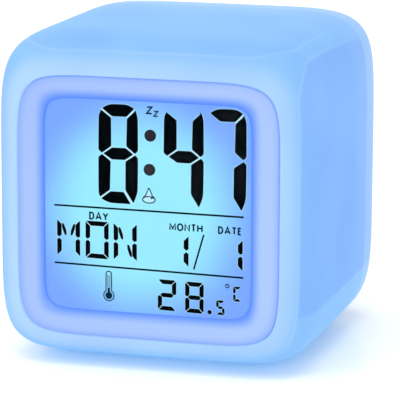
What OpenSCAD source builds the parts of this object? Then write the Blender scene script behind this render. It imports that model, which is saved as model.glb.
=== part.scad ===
// Cube alarm clock with a night light. Millimetres, +Z up, the display faces -Y.
// The origin is on the table, under the middle of the clock.

/* [Housing] */
// Width, depth and height of the housing
body_size = 80; // [78:0.5:90]
// Gap between the table and the housing at rest
ride_height = 1.2; // [1:0.1:1.8]
// Wall thickness of the shell and the rear cover
wall = 2.2; // [2:0.1:2.6]
// Corner power of the square section: higher is squarer
corner_power = 8.2; // [7:0.1:10]
// Edge power of the front-to-back section
edge_power = 13; // [11:0.5:15]
// Distance from the rear face to the parting line of the rear cover
cover_depth = 9; // [8:0.5:10]

/* [Display] */
// Width of the housing's front band beside the bezel
side_band = 6.65; // [6:0.05:7.5]
// Height of the housing's front band above and below the bezel
top_band = 7.3; // [6.5:0.05:8.5]
// Width of the bezel ring beside the window
side_ring = 6.55; // [5.5:0.05:7.5]
// Height of the bezel ring above and below the window
top_ring = 5.9; // [5:0.05:7]
// How far the window lies behind the front of the housing
window_depth = 0.8; // [0.7:0.1:1]

/* [Keys and switches] */
// Diameter of a rear key
key_d = 6; // [5.4:0.1:6.6]
// Travel of a rear key
key_travel = 0.5; // [0.3:0.1:0.5]
// Centre distance of the rear keys
key_pitch = 10; // [9:0.1:11]
// Travel of the light switch knob
light_travel = 2; // [1.5:0.1:2]
// Travel of the housing on its foot
press_travel = 0.6; // [0.4:0.1:0.6]

/* [Batteries] */
// Diameter of an AAA cell
cell_d = 10.5; // [9.5:0.1:10.5]
// Length of an AAA cell with its positive tip
cell_l = 44.5; // [44:0.1:44.5]

/* [Smoothness] */
// Facets around the housing
facets = 72; // [48:8:80]

/* [Hidden] */
$fn = 48;

half = body_size / 2;
z_mid = ride_height + half;
eps = 0.01;
part_gap = 0.15;
fit_gap = 0.05;
key_gap = 0.1;

// Shell
bezel_w = body_size - 2 * side_band;
bezel_h = body_size - 2 * top_band;
bezel_power = 7.4;
window_w = bezel_w - 2 * side_ring;
window_h = bezel_h - 2 * top_ring;
window_power = 12;
flat_ratio = 0.8;
front_ratio = bezel_w / body_size;
y_part = half - cover_depth;
y_inner = half - wall;
post_r = 3.2;
post_rib = 0.9;
post_z = half - 11;
rear_post_y = y_part - 11;
rear_bore_r = 1.2;
rear_screw_r = 2.3;

// Display stack, listed from the front
y_window = -half + window_depth;
window_t = 1;
y_lcd = y_window + window_t + 0.1;
glass_t = 1.1;
y_guide = y_lcd + 2 * glass_t + 0.1;
guide_t = 3;
y_holder = y_guide + guide_t + 0.1;
holder_t = 2.1;
y_board = y_holder + holder_t;
board_t = 1.6;
y_parts = y_board + board_t;
glass_w = window_w + 2.2;
glass_h = window_h + 3.4;
ledge_h = 2.6;
backlight_x = glass_w / 4;
holder_half_w = glass_w / 2 + 1.1;
holder_half_h = glass_h / 2 + 1.3;
holder_r = 2.8;
zebra_half = glass_w / 2 - 2.9;
flange_half = bezel_w / 2 + 1.9;
flange_depth = 1.6;
bezel_post_r = 2.2;
bezel_post_x = holder_half_w + bezel_post_r + 0.4;
bezel_post_z = glass_h / 2 - 8.5;
board_w = 2 * bezel_post_x + 4.8;
board_h = glass_h + 5;
light_x = board_w / 2 - 8;
light_z = board_h / 2 - 5;
m2_r = 0.9;

// Battery bay and door
cell_pitch = cell_d + 0.4;
cell_x = [for (i = [0 : 3]) (i - 1.5) * cell_pitch];
cell_gap = 0.15;
bay_w = 4 * cell_pitch + 0.4;
plate_t = 0.5;
spring_l = 5.1;
bay_h = cell_l + spring_l + 2 * plate_t;
bay_wall = 1.5;
door_t = 1.8;
door_rib = 1;
bay_y = half - door_t - door_rib - 0.55 - cell_d - cell_gap;
tip_l = 1;
tip_r = 1.9;
cell_y = bay_y + cell_gap + cell_d / 2;
hinge_r = door_t / 2;
hinge_y = half - hinge_r;
pin_r = 0.6;
pin_l = 1.6;
door_half = bay_w / 2 + 2.6;
door_gap = 0.2;

// Rear panel: the door and the key well above it are centred a little below the middle
well_depth = 1.2;
y_well = half - well_depth;
well_half_h = key_d / 2 + key_gap + 0.3;
hinge_drop = 1.2;
door_rise = 1.4;
well_rise = 1.2;
bay_to_foot = hinge_drop + hinge_r + door_gap;
panel_h = bay_to_foot + bay_h + door_rise + well_rise + 2 * well_half_h;
bay_z = z_mid - 0.35 - panel_h / 2 + bay_to_foot;
hinge_z = bay_z - hinge_drop;
door_top = bay_z + bay_h + door_rise;
key_z = door_top + well_rise + well_half_h;
key_x = [for (i = [0 : 3]) (i - 2) * key_pitch];
key_top = half - 0.1;
flange_r = key_d / 2 + 0.4;
flange_t = 0.8;
y_flange = y_inner - 0.1 - flange_t;
switch_t = 3.5;
plunger_r = 1.7;
y_key_board = y_inner - 8.4;
y_key_top = y_key_board + board_t;
y_plunger = y_key_top + switch_t + 1.4;
y_plunger_foot = y_key_top + 2.2;
key_posts = [
    [-1.5 * key_pitch, key_z - 2.2],
    [0.5 * key_pitch, key_z - 2.2],
    [-0.5 * key_pitch, key_z + 2.3]
];
key_post_r = 1.6;
knob_x = 2 * key_pitch + 0.5;
knob_w = 3;
knob_h = 2.4;
slide_t = 3.4;
slide_half = 4.4;
well_half_w = knob_x + 4.5;
post_x = max(door_half + 4.4, well_half_w + 4);
sound_x = door_half + 5.8;

// Foot
foot_inset = 17;
foot_open = body_size - 2 * foot_inset;
foot_open_r = 6;
seat_z = ride_height + 2.8;
foot_z = 0.7;
foot_floor_z = 2.5;
flange_z = seat_z + fit_gap;
foot_flange_t = 1.55;
foot_flange = foot_open + 4.8;
pad_d = 9;
pad_t = 1.2;
pad_xy = foot_open / 2 - pad_d / 2 - 2;
foot_spring_x = foot_open / 2 - 5;
foot_spring_y = 10;
foot_spring_r = 2.5;
boss_r = 3.5;
boss_top = 6.2;
bridge_z = 12;
bridge_t = 1.8;
bridge_rib_t = 1.4;
bridge_rib_h = 1.6;
bridge_post_x = foot_open / 2 + 7;
bridge_post_y = 13;
bridge_post_r = 2.6;
snooze_board_t = 1.2;
snooze_screw_x = 6.8;
snooze_switch_z = bridge_z - snooze_board_t - switch_t;
snooze_plunger_l = 2.2;

// Wiring
ribbon_x = 13.5;
ribbon_w = 10;
ribbon_t = 0.7;
ribbon_sag = 3;
ribbon_board_z = board_h / 2 - 5.5;
socket_w = 12;
socket_t = 4;
lead_r = 0.65;
snooze_lead_r = 0.5;

// Colours
blue_shell = [0.66, 0.82, 0.99];
blue_ring = [0.66, 0.78, 0.99];
board_green = [0.1, 0.4, 0.24];
metal = [0.78, 0.79, 0.8];

// ---------- outlines and swept skins ----------

// Direction whose even steps of a crowd towards the corners of a square
function spread(a) =
    let(c = cos(a), s = sin(a))
    [sign(c) * sqrt(abs(c)), sign(s) * sqrt(abs(s))];

// Soft square of half width w and half height h
function soft_square(w, h, power) =
    [for (i = [0 : facets - 1])
        let(d = spread(360 * i / facets),
            r = pow(pow(abs(d.x), power) + pow(abs(d.y), power), -1 / power))
        [w * d.x * r, h * d.y * r]];

// Depth left, as a share, on the edge curve at a share k of the half width
function edge_at(k) = pow(1 - pow(k, edge_power), 1 / edge_power);

// Point [k, v] of the edge curve at the polar angle a, 0 on the side and 90 on the face
function edge_point(a) =
    let(r = pow(pow(cos(a), edge_power) + pow(sin(a), edge_power), -1 / edge_power))
    [cos(a) * r, sin(a) * r];

// A section is [half width, half height, corner power, y]
function skin(size, k, y) = [size * k, size * k, corner_power, y];

// Front section at share k: its outline blends from the housing to the bezel
function front_skin(size, k, v) =
    let(t = min(1, (1 - k) / (1 - front_ratio)))
    [size * k, size * k - t * (bezel_w - bezel_h) / 2,
        corner_power + t * (bezel_power - corner_power), -size * v / edge_at(front_ratio)];

// Rear section at the polar angle a
function rear_skin(size, a) =
    let(p = edge_point(a))
    skin(size, p[0], min(size, size * p[1] / edge_at(flat_ratio)));

// Half width of the skin of a given size at the depth y behind the middle
function rear_half(size, y) = size * edge_at(y * edge_at(flat_ratio) / size);

function section_points(s) = [for (p = soft_square(s[0], s[1], s[2])) [p.x, s[3], z_mid + p.y]];

function band_faces(i, j) =
    [for (m = [0 : facets - 1])
        let(n = (m + 1) % facets, a = i * facets + m, b = i * facets + n,
            c = j * facets + m, d = j * facets + n)
        each [[a, b, d], [a, d, c]]];

// Skin through a closed chain of sections: a ring-shaped solid
module ring_skin(sections) {
    count = len(sections);
    polyhedron(
        points = [for (s = sections) each section_points(s)],
        faces = [for (i = [0 : count - 1]) each band_faces(i, (i + 1) % count)]);
}

// Skin through an open chain of sections with a flat face at each end
module cap_skin(sections) {
    count = len(sections);
    last = (count - 1) * facets;
    polyhedron(
        points = [for (s = sections) each section_points(s)],
        faces = concat(
            [for (i = [0 : count - 2]) each band_faces(i, i + 1)],
            [[for (m = [facets - 1 : -1 : 0]) m]],
            [[for (m = [0 : facets - 1]) last + m]]));
}

function unit(v) = v / norm(v);

// Six-sided tube of radius r along a path; side is a direction that the path never follows
module tube(path, r, side) {
    sides = 6;
    last = len(path) - 1;
    points = [for (i = [0 : last])
        let(t = unit(path[min(i + 1, last)] - path[max(i - 1, 0)]), u = unit(cross(t, side)), v = cross(u, t))
        for (j = [0 : sides - 1])
            let(a = 360 * j / sides + 90)
            path[i] + r * (cos(a) * u + sin(a) * v)];
    polyhedron(points, concat(
        [for (i = [0 : last - 1], j = [0 : sides - 1])
            let(n = (j + 1) % sides, a = i * sides, c = (i + 1) * sides)
            each [[a + j, a + n, c + n], [a + j, c + n, c + j]]],
        [[for (j = [sides - 1 : -1 : 0]) j]],
        [[for (j = [0 : sides - 1]) last * sides + j]]));
}

// Spring wire standing on z = 0: its coil runs from radius r1 to radius r2
module coil(r1, r2, wire_r, turns, height) {
    steps = round(turns * 10);
    tube([for (i = [0 : steps])
        let(t = i / steps, a = 360 * turns * t, r = r1 + (r2 - r1) * t)
        [r * cos(a), r * sin(a), wire_r + (height - 2 * wire_r) * t]], wire_r, [0, 0, 1]);
}

// ---------- small shapes ----------

// Box given by two opposite corners
module box(a, b) {
    translate(a) cube(b - a);
}

// Cylinder along +Y from y1 to y2
module rod_y(x, z, r, y1, y2) {
    translate([x, y1, z]) rotate([-90, 0, 0]) cylinder(r = r, h = y2 - y1);
}

// Outline of a rectangle w by h with corners of radius r
module rounded(w, h, r) {
    square([w, h - 2 * r], center = true);
    square([w - 2 * r, h], center = true);
    for (x = [-1, 1], y = [-1, 1]) translate([x * (w / 2 - r), y * (h / 2 - r)]) circle(r);
}

// Square of side s with corners of radius r, extruded from z1 to z2
module slab(s, r, z1, z2) {
    translate([0, 0, z1]) linear_extrude(z2 - z1) rounded(s, s, r);
}

// Pan-head screw with its head above z = 0 and its shaft below
module screw(head_r, shaft_r, shaft_l) {
    head_t = head_r * 0.75;
    slot = head_r * 0.3;
    difference() {
        union() {
            rotate_extrude() union() {
                square([head_r, head_t * 0.5]);
                translate([0, head_t * 0.5]) intersection() {
                    circle(head_r);
                    square([head_r, head_t * 0.5]);
                }
            }
            translate([0, 0, -shaft_l]) cylinder(r = shaft_r, h = shaft_l + eps);
        }
        for (a = [0, 90]) rotate(a)
            box([-head_r * 0.62, -slot / 2, head_t * 0.45], [head_r * 0.62, slot / 2, head_t + eps]);
    }
}

// Curve through four points that starts at the second one and ends at the third
function soft_step(a, b, c, d, t) =
    0.5 * (2 * b + (c - a) * t + (2 * a - 5 * b + 4 * c - d) * t * t + (3 * b - a - 3 * c + d) * t * t * t);

// Insulated wire that bends softly through a list of points in one plane across X
module wire(points, r) {
    last = len(points) - 1;
    steps = 5;
    path = concat(
        [for (i = [0 : last - 1], s = [0 : steps - 1])
            soft_step(points[max(i - 1, 0)], points[i], points[i + 1], points[min(i + 2, last)], s / steps)],
        [points[last]]);
    tube(path, r, [1, 0, 0]);
}

module at_corners(x, z) {
    for (sx = [-1, 1], sz = [-1, 1]) translate([sx * x, 0, z_mid + sz * z]) children();
}

// ---------- housing ----------

shell_angles = [49, 47.6, 46.2, 44.8, 43.4, 42, 40, 37, 31, 18, 0, -18, -31];
inner_angles = [-30, 0, 30, 38, 41, 43.5, 46];
part_angle = atan(y_part / half) + 0.7;
cover_angles = [for (i = [0 : 6]) -part_angle - i / 6 * (48 - part_angle)];

// Sections of the shell's skin at the polar angles a, above 0 towards the front
function body_skin(size, angles) =
    [for (a = angles)
        let(p = edge_point(abs(a)))
        a >= 0 ? front_skin(size, p[0], p[1]) : rear_skin(size, -a)];

// Inner face of the front wall at half width w
function front_wall_y(w) = -y_inner * edge_at(w / y_inner) / edge_at(front_ratio);

shell_sections = concat(
    [[bezel_w / 2, bezel_h / 2, bezel_power, -half]],
    body_skin(half, shell_angles),
    [skin(rear_half(half, y_part), 1, y_part - part_gap / 2),
        skin(rear_half(y_inner, y_part), 1, y_part - part_gap / 2)],
    body_skin(y_inner, inner_angles),
    [[bezel_w / 2, bezel_h / 2, bezel_power, front_wall_y(bezel_w / 2)]]);

module shell() {
    color(blue_shell) difference() {
        union() {
            ring_skin(shell_sections);
            // screw posts of the rear cover, each with ribs to the walls beside it
            at_corners(post_x, post_z)
                rod_y(0, 0, post_r, rear_post_y, y_part - part_gap / 2);
            for (sx = [-1, 1], sz = [-1, 1])
                translate([sx * post_x, 0, z_mid + sz * post_z]) scale([sx, 1, sz]) {
                    box([0, rear_post_y, -post_rib], [half - wall / 2 - post_x, y_part - 2.6, post_rib]);
                    box([-post_rib, rear_post_y, 0], [post_rib, y_part - 2.6, half - wall / 2 - post_z]);
                }
            // flat seat of the foot plate and posts of the foot bridge
            slab(foot_open + 10, 8, ride_height + wall - 1, seat_z);
            for (x = [-1, 1], y = [-1, 1])
                translate([x * bridge_post_x, y * bridge_post_y, ride_height + wall - 0.8])
                    cylinder(r = bridge_post_r, h = bridge_z - ride_height - wall + 0.8);
        }
        slab(foot_open, foot_open_r, -1, seat_z + 1);
        at_corners(post_x, post_z) rod_y(0, 0, rear_bore_r, y_part - 10.4, y_part);
        for (x = [-1, 1], y = [-1, 1])
            translate([x * bridge_post_x, y * bridge_post_y, bridge_z - 6.4]) cylinder(r = m2_r, h = 8);
    }
}

y_flange_front = front_wall_y(flange_half) + 2 * fit_gap;
bezel_sections = [
    [bezel_w / 2 - part_gap, bezel_h / 2 - part_gap, bezel_power, -half + 0.8],
    [bezel_w / 2 - 0.4, bezel_h / 2 - 0.4, bezel_power, -half + 0.4],
    [bezel_w / 2 - 1, bezel_h / 2 - 1, bezel_power + 0.2, -half + 0.25],
    [window_w / 2 + 2.4, window_h / 2 + 2.2, bezel_power + 1.6, -half + 0.2],
    [window_w / 2 + 1.2, window_h / 2 + 1.1, window_power - 1.6, -half + 0.3],
    [window_w / 2 + 0.5, window_h / 2 + 0.5, window_power - 0.8, -half + 0.45],
    [window_w / 2 + 0.1, window_h / 2 + 0.1, window_power, -half + 0.65],
    [window_w / 2, window_h / 2, window_power, y_window],
    [window_w / 2 + 1.5, window_h / 2 + 1.5, window_power, y_window],
    [window_w / 2 + 1.5, window_h / 2 + 1.5, window_power, y_window + window_t],
    [holder_half_w + 0.3, holder_half_h + 0.3, 2 * window_power, y_window + window_t],
    [holder_half_w + 0.3, holder_half_h + 0.3, 2 * window_power, y_flange_front + flange_depth],
    [flange_half, flange_half - 0.6, bezel_power, y_flange_front + flange_depth],
    [flange_half, flange_half - 0.6, bezel_power, y_flange_front],
    [bezel_w / 2 - part_gap, bezel_h / 2 - part_gap, bezel_power, front_wall_y(bezel_w / 2) + fit_gap]
];

module front_bezel() {
    color(blue_ring) difference() {
        union() {
            ring_skin([for (i = [len(bezel_sections) - 1 : -1 : 0]) bezel_sections[i]]);
            at_corners(bezel_post_x, bezel_post_z)
                rod_y(0, 0, bezel_post_r, y_flange_front + 0.5, y_board);
        }
        at_corners(bezel_post_x, bezel_post_z) rod_y(0, 0, m2_r, y_board - 4.9, y_board + 1);
    }
}

module display_window() {
    w = window_w / 2 + 1.4;
    h = window_h / 2 + 1.4;
    color([0.7, 0.88, 1, 0.4]) translate([0, y_window + eps, z_mid]) rotate([-90, 0, 0])
        linear_extrude(window_t - eps) polygon(soft_square(w, h, window_power));
}

module lcd_glass() {
    w = glass_w / 2;
    h = glass_h / 2;
    color([0.6, 0.9, 0.98]) {
        box([-w, y_lcd, z_mid - h], [w, y_lcd + glass_t, z_mid + h]);
        box([-w, y_lcd + glass_t, z_mid - h + ledge_h], [w, y_lcd + 2 * glass_t, z_mid + h]);
    }
}

module light_diffuser() {
    w = glass_w / 2 - 0.1;
    top = z_mid + glass_h / 2 - 0.1;
    color([0.9, 0.96, 1]) difference() {
        box([-w, y_guide, z_mid - glass_h / 2 + ledge_h], [w, y_guide + guide_t, top]);
        for (x = [-backlight_x, backlight_x])
            box([x - 1.8, y_guide - 1, top - 1.8], [x + 1.8, y_guide + guide_t + 1, top + 1]);
    }
}

module backlight_leds() {
    top = z_mid + glass_h / 2 - 0.1;
    color([0.96, 0.96, 0.88]) for (x = [-backlight_x, backlight_x])
        box([x - 1.6, y_guide + 0.5, top - 1.6], [x + 1.6, y_guide + guide_t + 0.1, top]);
}

module display_holder() {
    w = glass_w / 2 + fit_gap;
    h = glass_h / 2 + fit_gap;
    slot = zebra_half + 0.2;
    color("white") difference() {
        translate([0, y_board, z_mid]) rotate([90, 0, 0]) linear_extrude(y_board - y_lcd)
            rounded(2 * holder_half_w, 2 * holder_half_h, holder_r);
        box([-w, y_lcd - 1, z_mid - h], [w, y_holder, z_mid + h]);
        box([-slot, y_holder - 1, z_mid - glass_h / 2], [slot, y_board + 1, z_mid - glass_h / 2 + 2.4]);
    }
}

module zebra_strip() {
    color([0.85, 0.5, 0.6])
        box([-zebra_half, y_lcd + glass_t, z_mid - glass_h / 2 + 0.2],
            [zebra_half, y_board, z_mid - glass_h / 2 + 2.2]);
}

module main_board() {
    color(board_green) difference() {
        box([-board_w / 2, y_board, z_mid - board_h / 2], [board_w / 2, y_parts, z_mid + board_h / 2]);
        at_corners(bezel_post_x, bezel_post_z) rod_y(0, 0, m2_r + 0.2, y_board - 1, y_parts + 1);
    }
}

// Box standing on the rear face of the main board, centred at x and z
module board_box(x, z, w, h, t) {
    box([x - w / 2, y_parts, z_mid + z - h / 2], [x + w / 2, y_parts + t, z_mid + z + h / 2]);
}

module board_parts() {
    color([0.1, 0.1, 0.11]) {
        board_box(-4, 2, 12, 12, 1.6);
        board_box(-20, 12, 5, 4, 1.5);
        board_box(18, -4, 6, 3, 1.3);
    }
    color([0.9, 0.88, 0.8]) board_box(ribbon_x, ribbon_board_z, socket_w, 4.6, socket_t);
    color(metal) board_box(-14, 2, 3.2, 8, 2.4);
    color([0.75, 0.6, 0.4]) for (i = [0 : 5]) {
        board_box(-22 + i * 3.4, -10, 2, 1.2, 0.6);
        board_box(4 + i * 3.2, -14, 1.2, 2, 0.6);
    }
}

module light_leds() {
    stand = 1.4;
    color([0.85, 0.92, 1]) at_corners(light_x, light_z) translate([0, y_parts, 0]) rotate([-90, 0, 0]) {
        translate([0, 0, stand]) cylinder(r = 2.9, h = 1);
        translate([0, 0, stand]) cylinder(r = 2.5, h = 6.1);
        translate([0, 0, stand + 6.1]) sphere(2.5);
        for (x = [-1.27, 1.27]) translate([x, 0, 0]) cylinder(r = 0.25, h = stand + 0.5, $fn = 16);
    }
}

module temperature_sensor() {
    x = 14;
    z = z_mid - board_h / 2 + 4;
    bead_y = y_parts + 5;
    color([0.15, 0.15, 0.16]) translate([x, bead_y, z]) sphere(1.3);
    color(metal) for (s = [-0.6, 0.6]) rod_y(x + s, z, 0.25, y_parts, bead_y, $fn = 16);
}

module buzzer() {
    x = 16;
    z = z_mid + ribbon_board_z - 11.5;
    can_l = 8.5;
    color([0.08, 0.08, 0.09]) difference() {
        rod_y(x, z, 6, y_parts, y_parts + can_l);
        rod_y(x, z, 1.1, y_parts + can_l - 3.5, y_parts + can_l + 1);
    }
}

module bezel_screws() {
    color(metal) at_corners(bezel_post_x, bezel_post_z) translate([0, y_parts, 0])
        rotate([-90, 0, 0]) screw(1.7, m2_r, 5.8);
}

// ---------- rear cover ----------

cover_sections = concat(
    [skin(y_inner, flat_ratio, y_inner)],
    [for (a = [48, 45, 42]) rear_skin(y_inner, a)],
    [skin(rear_half(y_inner, y_part) - 1.3, 1, y_part + 1.4),
        skin(rear_half(y_inner, y_part) - 1.3, 1, y_part - 2.4),
        skin(rear_half(y_inner, y_part) - 0.15, 1, y_part - 2.4),
        skin(rear_half(y_inner, y_part) - 0.15, 1, y_part + part_gap / 2),
        skin(rear_half(half, y_part + part_gap / 2), 1, y_part + part_gap / 2)],
    [for (a = cover_angles) rear_skin(half, -a)],
    [skin(half, flat_ratio, half)]);

module rear_cover() {
    color(blue_shell) difference() {
        union() {
            cap_skin(cover_sections);
            box([-bay_w / 2 - bay_wall, bay_y - bay_wall, bay_z - bay_wall],
                [bay_w / 2 + bay_wall, y_inner + 0.5, bay_z + bay_h + bay_wall]);
            box([-door_half - 1.4, half - 3.8, hinge_z - 2.2],
                [door_half + 1.4, y_inner + 0.5, door_top + 0.9]);
            at_corners(post_x, post_z)
                rod_y(0, 0, post_r + 0.4, y_part + part_gap / 2, y_inner + 0.5);
            for (p = key_posts) rod_y(p[0], p[1], key_post_r, y_key_top, y_inner + 0.5);
        }
        // battery bay, door recess and hinge bores
        box([-bay_w / 2, bay_y, bay_z], [bay_w / 2, half + 1, bay_z + bay_h]);
        box([-door_half - door_gap, half - door_t - 0.1, hinge_z - hinge_r - door_gap],
            [door_half + door_gap, half + 1, door_top + door_gap]);
        for (s = [-1, 1]) translate([s * (door_half + 1), hinge_y, hinge_z]) rotate([0, 90, 0])
            cylinder(r = pin_r + fit_gap, h = 2 * pin_l, center = true);
        for (x = [cell_x[0], cell_x[3]]) rod_y(x, bay_z + 3, 0.8, bay_y - 3, bay_y + 1);
        // recessed screws
        at_corners(post_x, post_z) {
            rod_y(0, 0, rear_bore_r + 0.3, y_part - 1, half);
            rod_y(0, 0, rear_screw_r + 0.4, y_part + 2.4, half + 1);
        }
        // key well, key holes and switch slot
        box([-well_half_w, y_well, key_z - well_half_h], [well_half_w, half + 1, key_z + well_half_h]);
        for (x = key_x) rod_y(x, key_z, key_d / 2 + key_gap, y_inner - 1, half);
        slot_w = knob_w + light_travel + 0.3;
        box([knob_x - slot_w / 2, y_inner - 1, key_z - knob_h / 2 - 0.2],
            [knob_x + slot_w / 2, half, key_z + knob_h / 2 + 0.2]);
        for (p = key_posts) rod_y(p[0], p[1], m2_r, y_key_top - 1, y_inner - 1.2);
        // sound holes
        for (i = [-2 : 2]) rod_y(sound_x, z_mid + i * 4, 0.8, y_inner - 3, half + 1);
    }
}

module rear_screws() {
    color(metal) at_corners(post_x, post_z) translate([0, y_part + 2.4, 0])
        rotate([-90, 0, 0]) screw(rear_screw_r, rear_bore_r, 12);
}

module button_board() {
    color(board_green) difference() {
        box([-well_half_w - 0.2, y_key_board, key_z - 4], [well_half_w + 0.2, y_key_top, key_z + 4.6]);
        for (p = key_posts) rod_y(p[0], p[1], m2_r + 0.2, y_key_board - 1, y_key_top + 1);
    }
}

module board_screws() {
    color(metal) for (p = key_posts) translate([p[0], y_key_board, p[1]])
        rotate([90, 0, 0]) screw(1.7, m2_r, 6);
}

module button_switches() {
    color([0.12, 0.12, 0.13]) for (x = key_x) difference() {
        box([x - 3, y_key_top, key_z - 3], [x + 3, y_key_top + switch_t, key_z + 3]);
        rod_y(x, key_z, plunger_r + fit_gap, y_plunger_foot - key_travel - 0.1, y_key_top + switch_t + 1);
    }
}

module key_button(i) {
    color([0.9, 0.95, 1]) {
        rod_y(key_x[i], key_z, key_d / 2, y_flange + flange_t / 2, key_top - 0.4);
        translate([key_x[i], key_top - 0.4, key_z]) rotate([-90, 0, 0])
            cylinder(r1 = key_d / 2, r2 = key_d / 2 - 0.4, h = 0.4);
        rod_y(key_x[i], key_z, flange_r, y_flange, y_flange + flange_t);
        rod_y(key_x[i], key_z, 1.6, y_plunger, y_flange + eps);
    }
}

module key_plunger(i) {
    color([0.2, 0.2, 0.22]) rod_y(key_x[i], key_z, plunger_r, y_plunger_foot, y_plunger);
}

module mode_button() { key_button(0); }
module mode_plunger() { key_plunger(0); }
module set_button() { key_button(1); }
module set_plunger() { key_plunger(1); }
module up_button() { key_button(2); }
module up_plunger() { key_plunger(2); }
module down_button() { key_button(3); }
module down_plunger() { key_plunger(3); }

module light_switch_frame() {
    stem_slot = 1.8 + light_travel + 0.2;
    color(metal) difference() {
        box([knob_x - slide_half, y_key_top, key_z - 2.3],
            [knob_x + slide_half, y_key_top + slide_t, key_z + 2.3]);
        box([knob_x - stem_slot / 2, y_key_top + 0.8, key_z - 0.9],
            [knob_x + stem_slot / 2, y_key_top + slide_t + 1, key_z + 0.9]);
    }
}

module light_switch_knob() {
    x = knob_x - light_travel / 2;
    color([0.9, 0.95, 1]) {
        box([x - 0.9, y_key_top + 1.2, key_z - 0.8], [x + 0.9, y_flange + 0.2, key_z + 0.8]);
        box([x - 3.3, y_flange, key_z - 2.2], [x + 3.3, y_flange + 0.7, key_z + 2.2]);
        box([x - knob_w / 2, y_flange + 0.6, key_z - knob_h / 2], [x + knob_w / 2, half - 0.7, key_z + knob_h / 2]);
        for (i = [-1 : 1])
            box([x + i * 1.1 - 0.25, half - 0.8, key_z - knob_h / 2],
                [x + i * 1.1 + 0.25, half - 0.3, key_z + knob_h / 2]);
    }
}

// ---------- battery door and cells ----------

module battery_cover() {
    scoop_r = 8;
    color(blue_shell) difference() {
        union() {
            box([-door_half, half - door_t, hinge_z], [door_half, half, door_top]);
            translate([0, hinge_y, hinge_z]) rotate([0, 90, 0])
                cylinder(r = hinge_r, h = 2 * door_half, center = true);
            translate([0, hinge_y, hinge_z]) rotate([0, 90, 0])
                cylinder(r = pin_r, h = 2 * (door_half + pin_l - 0.1), center = true);
            for (x = [-cell_pitch, 0, cell_pitch])
                box([x - 0.6, half - door_t - door_rib, bay_z + 6],
                    [x + 0.6, half - door_t + eps, bay_z + bay_h - 8]);
        }
        translate([0, half + scoop_r - 0.9, door_top - 5.5]) rotate([0, 90, 0])
            cylinder(r = scoop_r, h = 15, center = true);
        for (x = [-9, 9]) box([x - 0.3, half - door_t - 1, door_top - 9], [x + 0.3, half + 1, door_top + 1]);
    }
}

// AAA cell of the bay; its tip is up on every second one
module cell(i) {
    up = i % 2 == 0;
    mid = bay_z + bay_h / 2;
    can_l = cell_l - tip_l;
    translate([cell_x[i], cell_y, mid]) rotate([up ? 0 : 180, 0, 0])
        translate([0, 0, -bay_h / 2 + plate_t + spring_l]) {
            color([0.16, 0.2, 0.26]) cylinder(r = cell_d / 2, h = can_l - 6);
            color([0.75, 0.55, 0.2]) translate([0, 0, can_l - 6]) cylinder(r = cell_d / 2, h = 6);
            color(metal) translate([0, 0, can_l - eps]) cylinder(r = tip_r, h = tip_l + eps);
        }
}

module battery_1() { cell(0); }
module battery_2() { cell(1); }
module battery_3() { cell(2); }
module battery_4() { cell(3); }

module battery_springs() {
    mid = bay_z + bay_h / 2;
    color(metal) for (i = [0 : 3])
        translate([cell_x[i], cell_y, mid]) rotate([i % 2 == 0 ? 0 : 180, 0, 0])
            translate([0, 0, -bay_h / 2 + plate_t]) coil(cell_d / 2 - 1.35, 2.6, 0.3, 3.5, spring_l);
}

module contact(x1, x2, z) {
    r = cell_d / 2 - 0.85;
    box([x1 - r, cell_y - r + 0.4, z], [x2 + r, cell_y + r - 0.4, z + plate_t]);
}

module battery_plates() {
    top = bay_z + bay_h - plate_t;
    color(metal) {
        contact(cell_x[0], cell_x[1], top);
        contact(cell_x[2], cell_x[3], top);
        contact(cell_x[0], cell_x[0], bay_z);
        contact(cell_x[1], cell_x[2], bay_z);
        contact(cell_x[3], cell_x[3], bay_z);
    }
}

// ---------- foot and snooze switch ----------

module at_pads(d) {
    for (x = [-d, d], y = [-d, d]) translate([x, y, 0]) children();
}

module foot_plate() {
    plate = foot_open - 0.8;
    color([0.6, 0.76, 0.96]) union() {
        difference() {
            union() {
                slab(plate, foot_open_r - 0.4, foot_z, flange_z + eps);
                slab(foot_flange, 8, flange_z, flange_z + foot_flange_t);
            }
            slab(plate - 3, foot_open_r - 2, foot_floor_z, 20);
            at_pads(pad_xy) translate([0, 0, foot_z - 1]) cylinder(r = pad_d / 2, h = 1 + pad_t - foot_z);
        }
        // boss under the snooze plunger and pegs inside the springs
        translate([0, 0, foot_floor_z - 1]) cylinder(r = boss_r, h = boss_top - foot_floor_z + 1);
        for (x = [-foot_spring_x, foot_spring_x], y = [-foot_spring_y, foot_spring_y])
            translate([x, y, foot_floor_z - 1]) cylinder(r = foot_spring_r - 0.7, h = 3);
    }
}

module rubber_feet() {
    color([0.25, 0.27, 0.3]) at_pads(pad_xy) cylinder(r = pad_d / 2, h = pad_t);
}

module foot_springs() {
    color(metal) for (x = [-foot_spring_x, foot_spring_x], y = [-foot_spring_y, foot_spring_y])
        translate([x, y, foot_floor_z])
            coil(foot_spring_r, foot_spring_r, 0.3, 5.5, bridge_z - foot_floor_z);
}

module foot_bridge() {
    x1 = bridge_post_x + 2.4;
    y1 = bridge_post_y + 3;
    rib_x = bridge_post_x - 3;
    rib_y = bridge_post_y + 0.8;
    color("white") difference() {
        union() {
            box([-x1, -y1, bridge_z], [x1, y1, bridge_z + bridge_t]);
            for (y = [-rib_y - bridge_rib_t, rib_y])
                box([-rib_x, y, bridge_z], [rib_x, y + bridge_rib_t, bridge_z + bridge_t + bridge_rib_h]);
        }
        for (x = [-1, 1], y = [-1, 1])
            translate([x * bridge_post_x, y * bridge_post_y, bridge_z - 1]) cylinder(r = m2_r + 0.2, h = 6);
        for (x = [-snooze_screw_x, snooze_screw_x])
            translate([x, 0, bridge_z - 1]) cylinder(r = m2_r, h = 6);
    }
}

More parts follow.
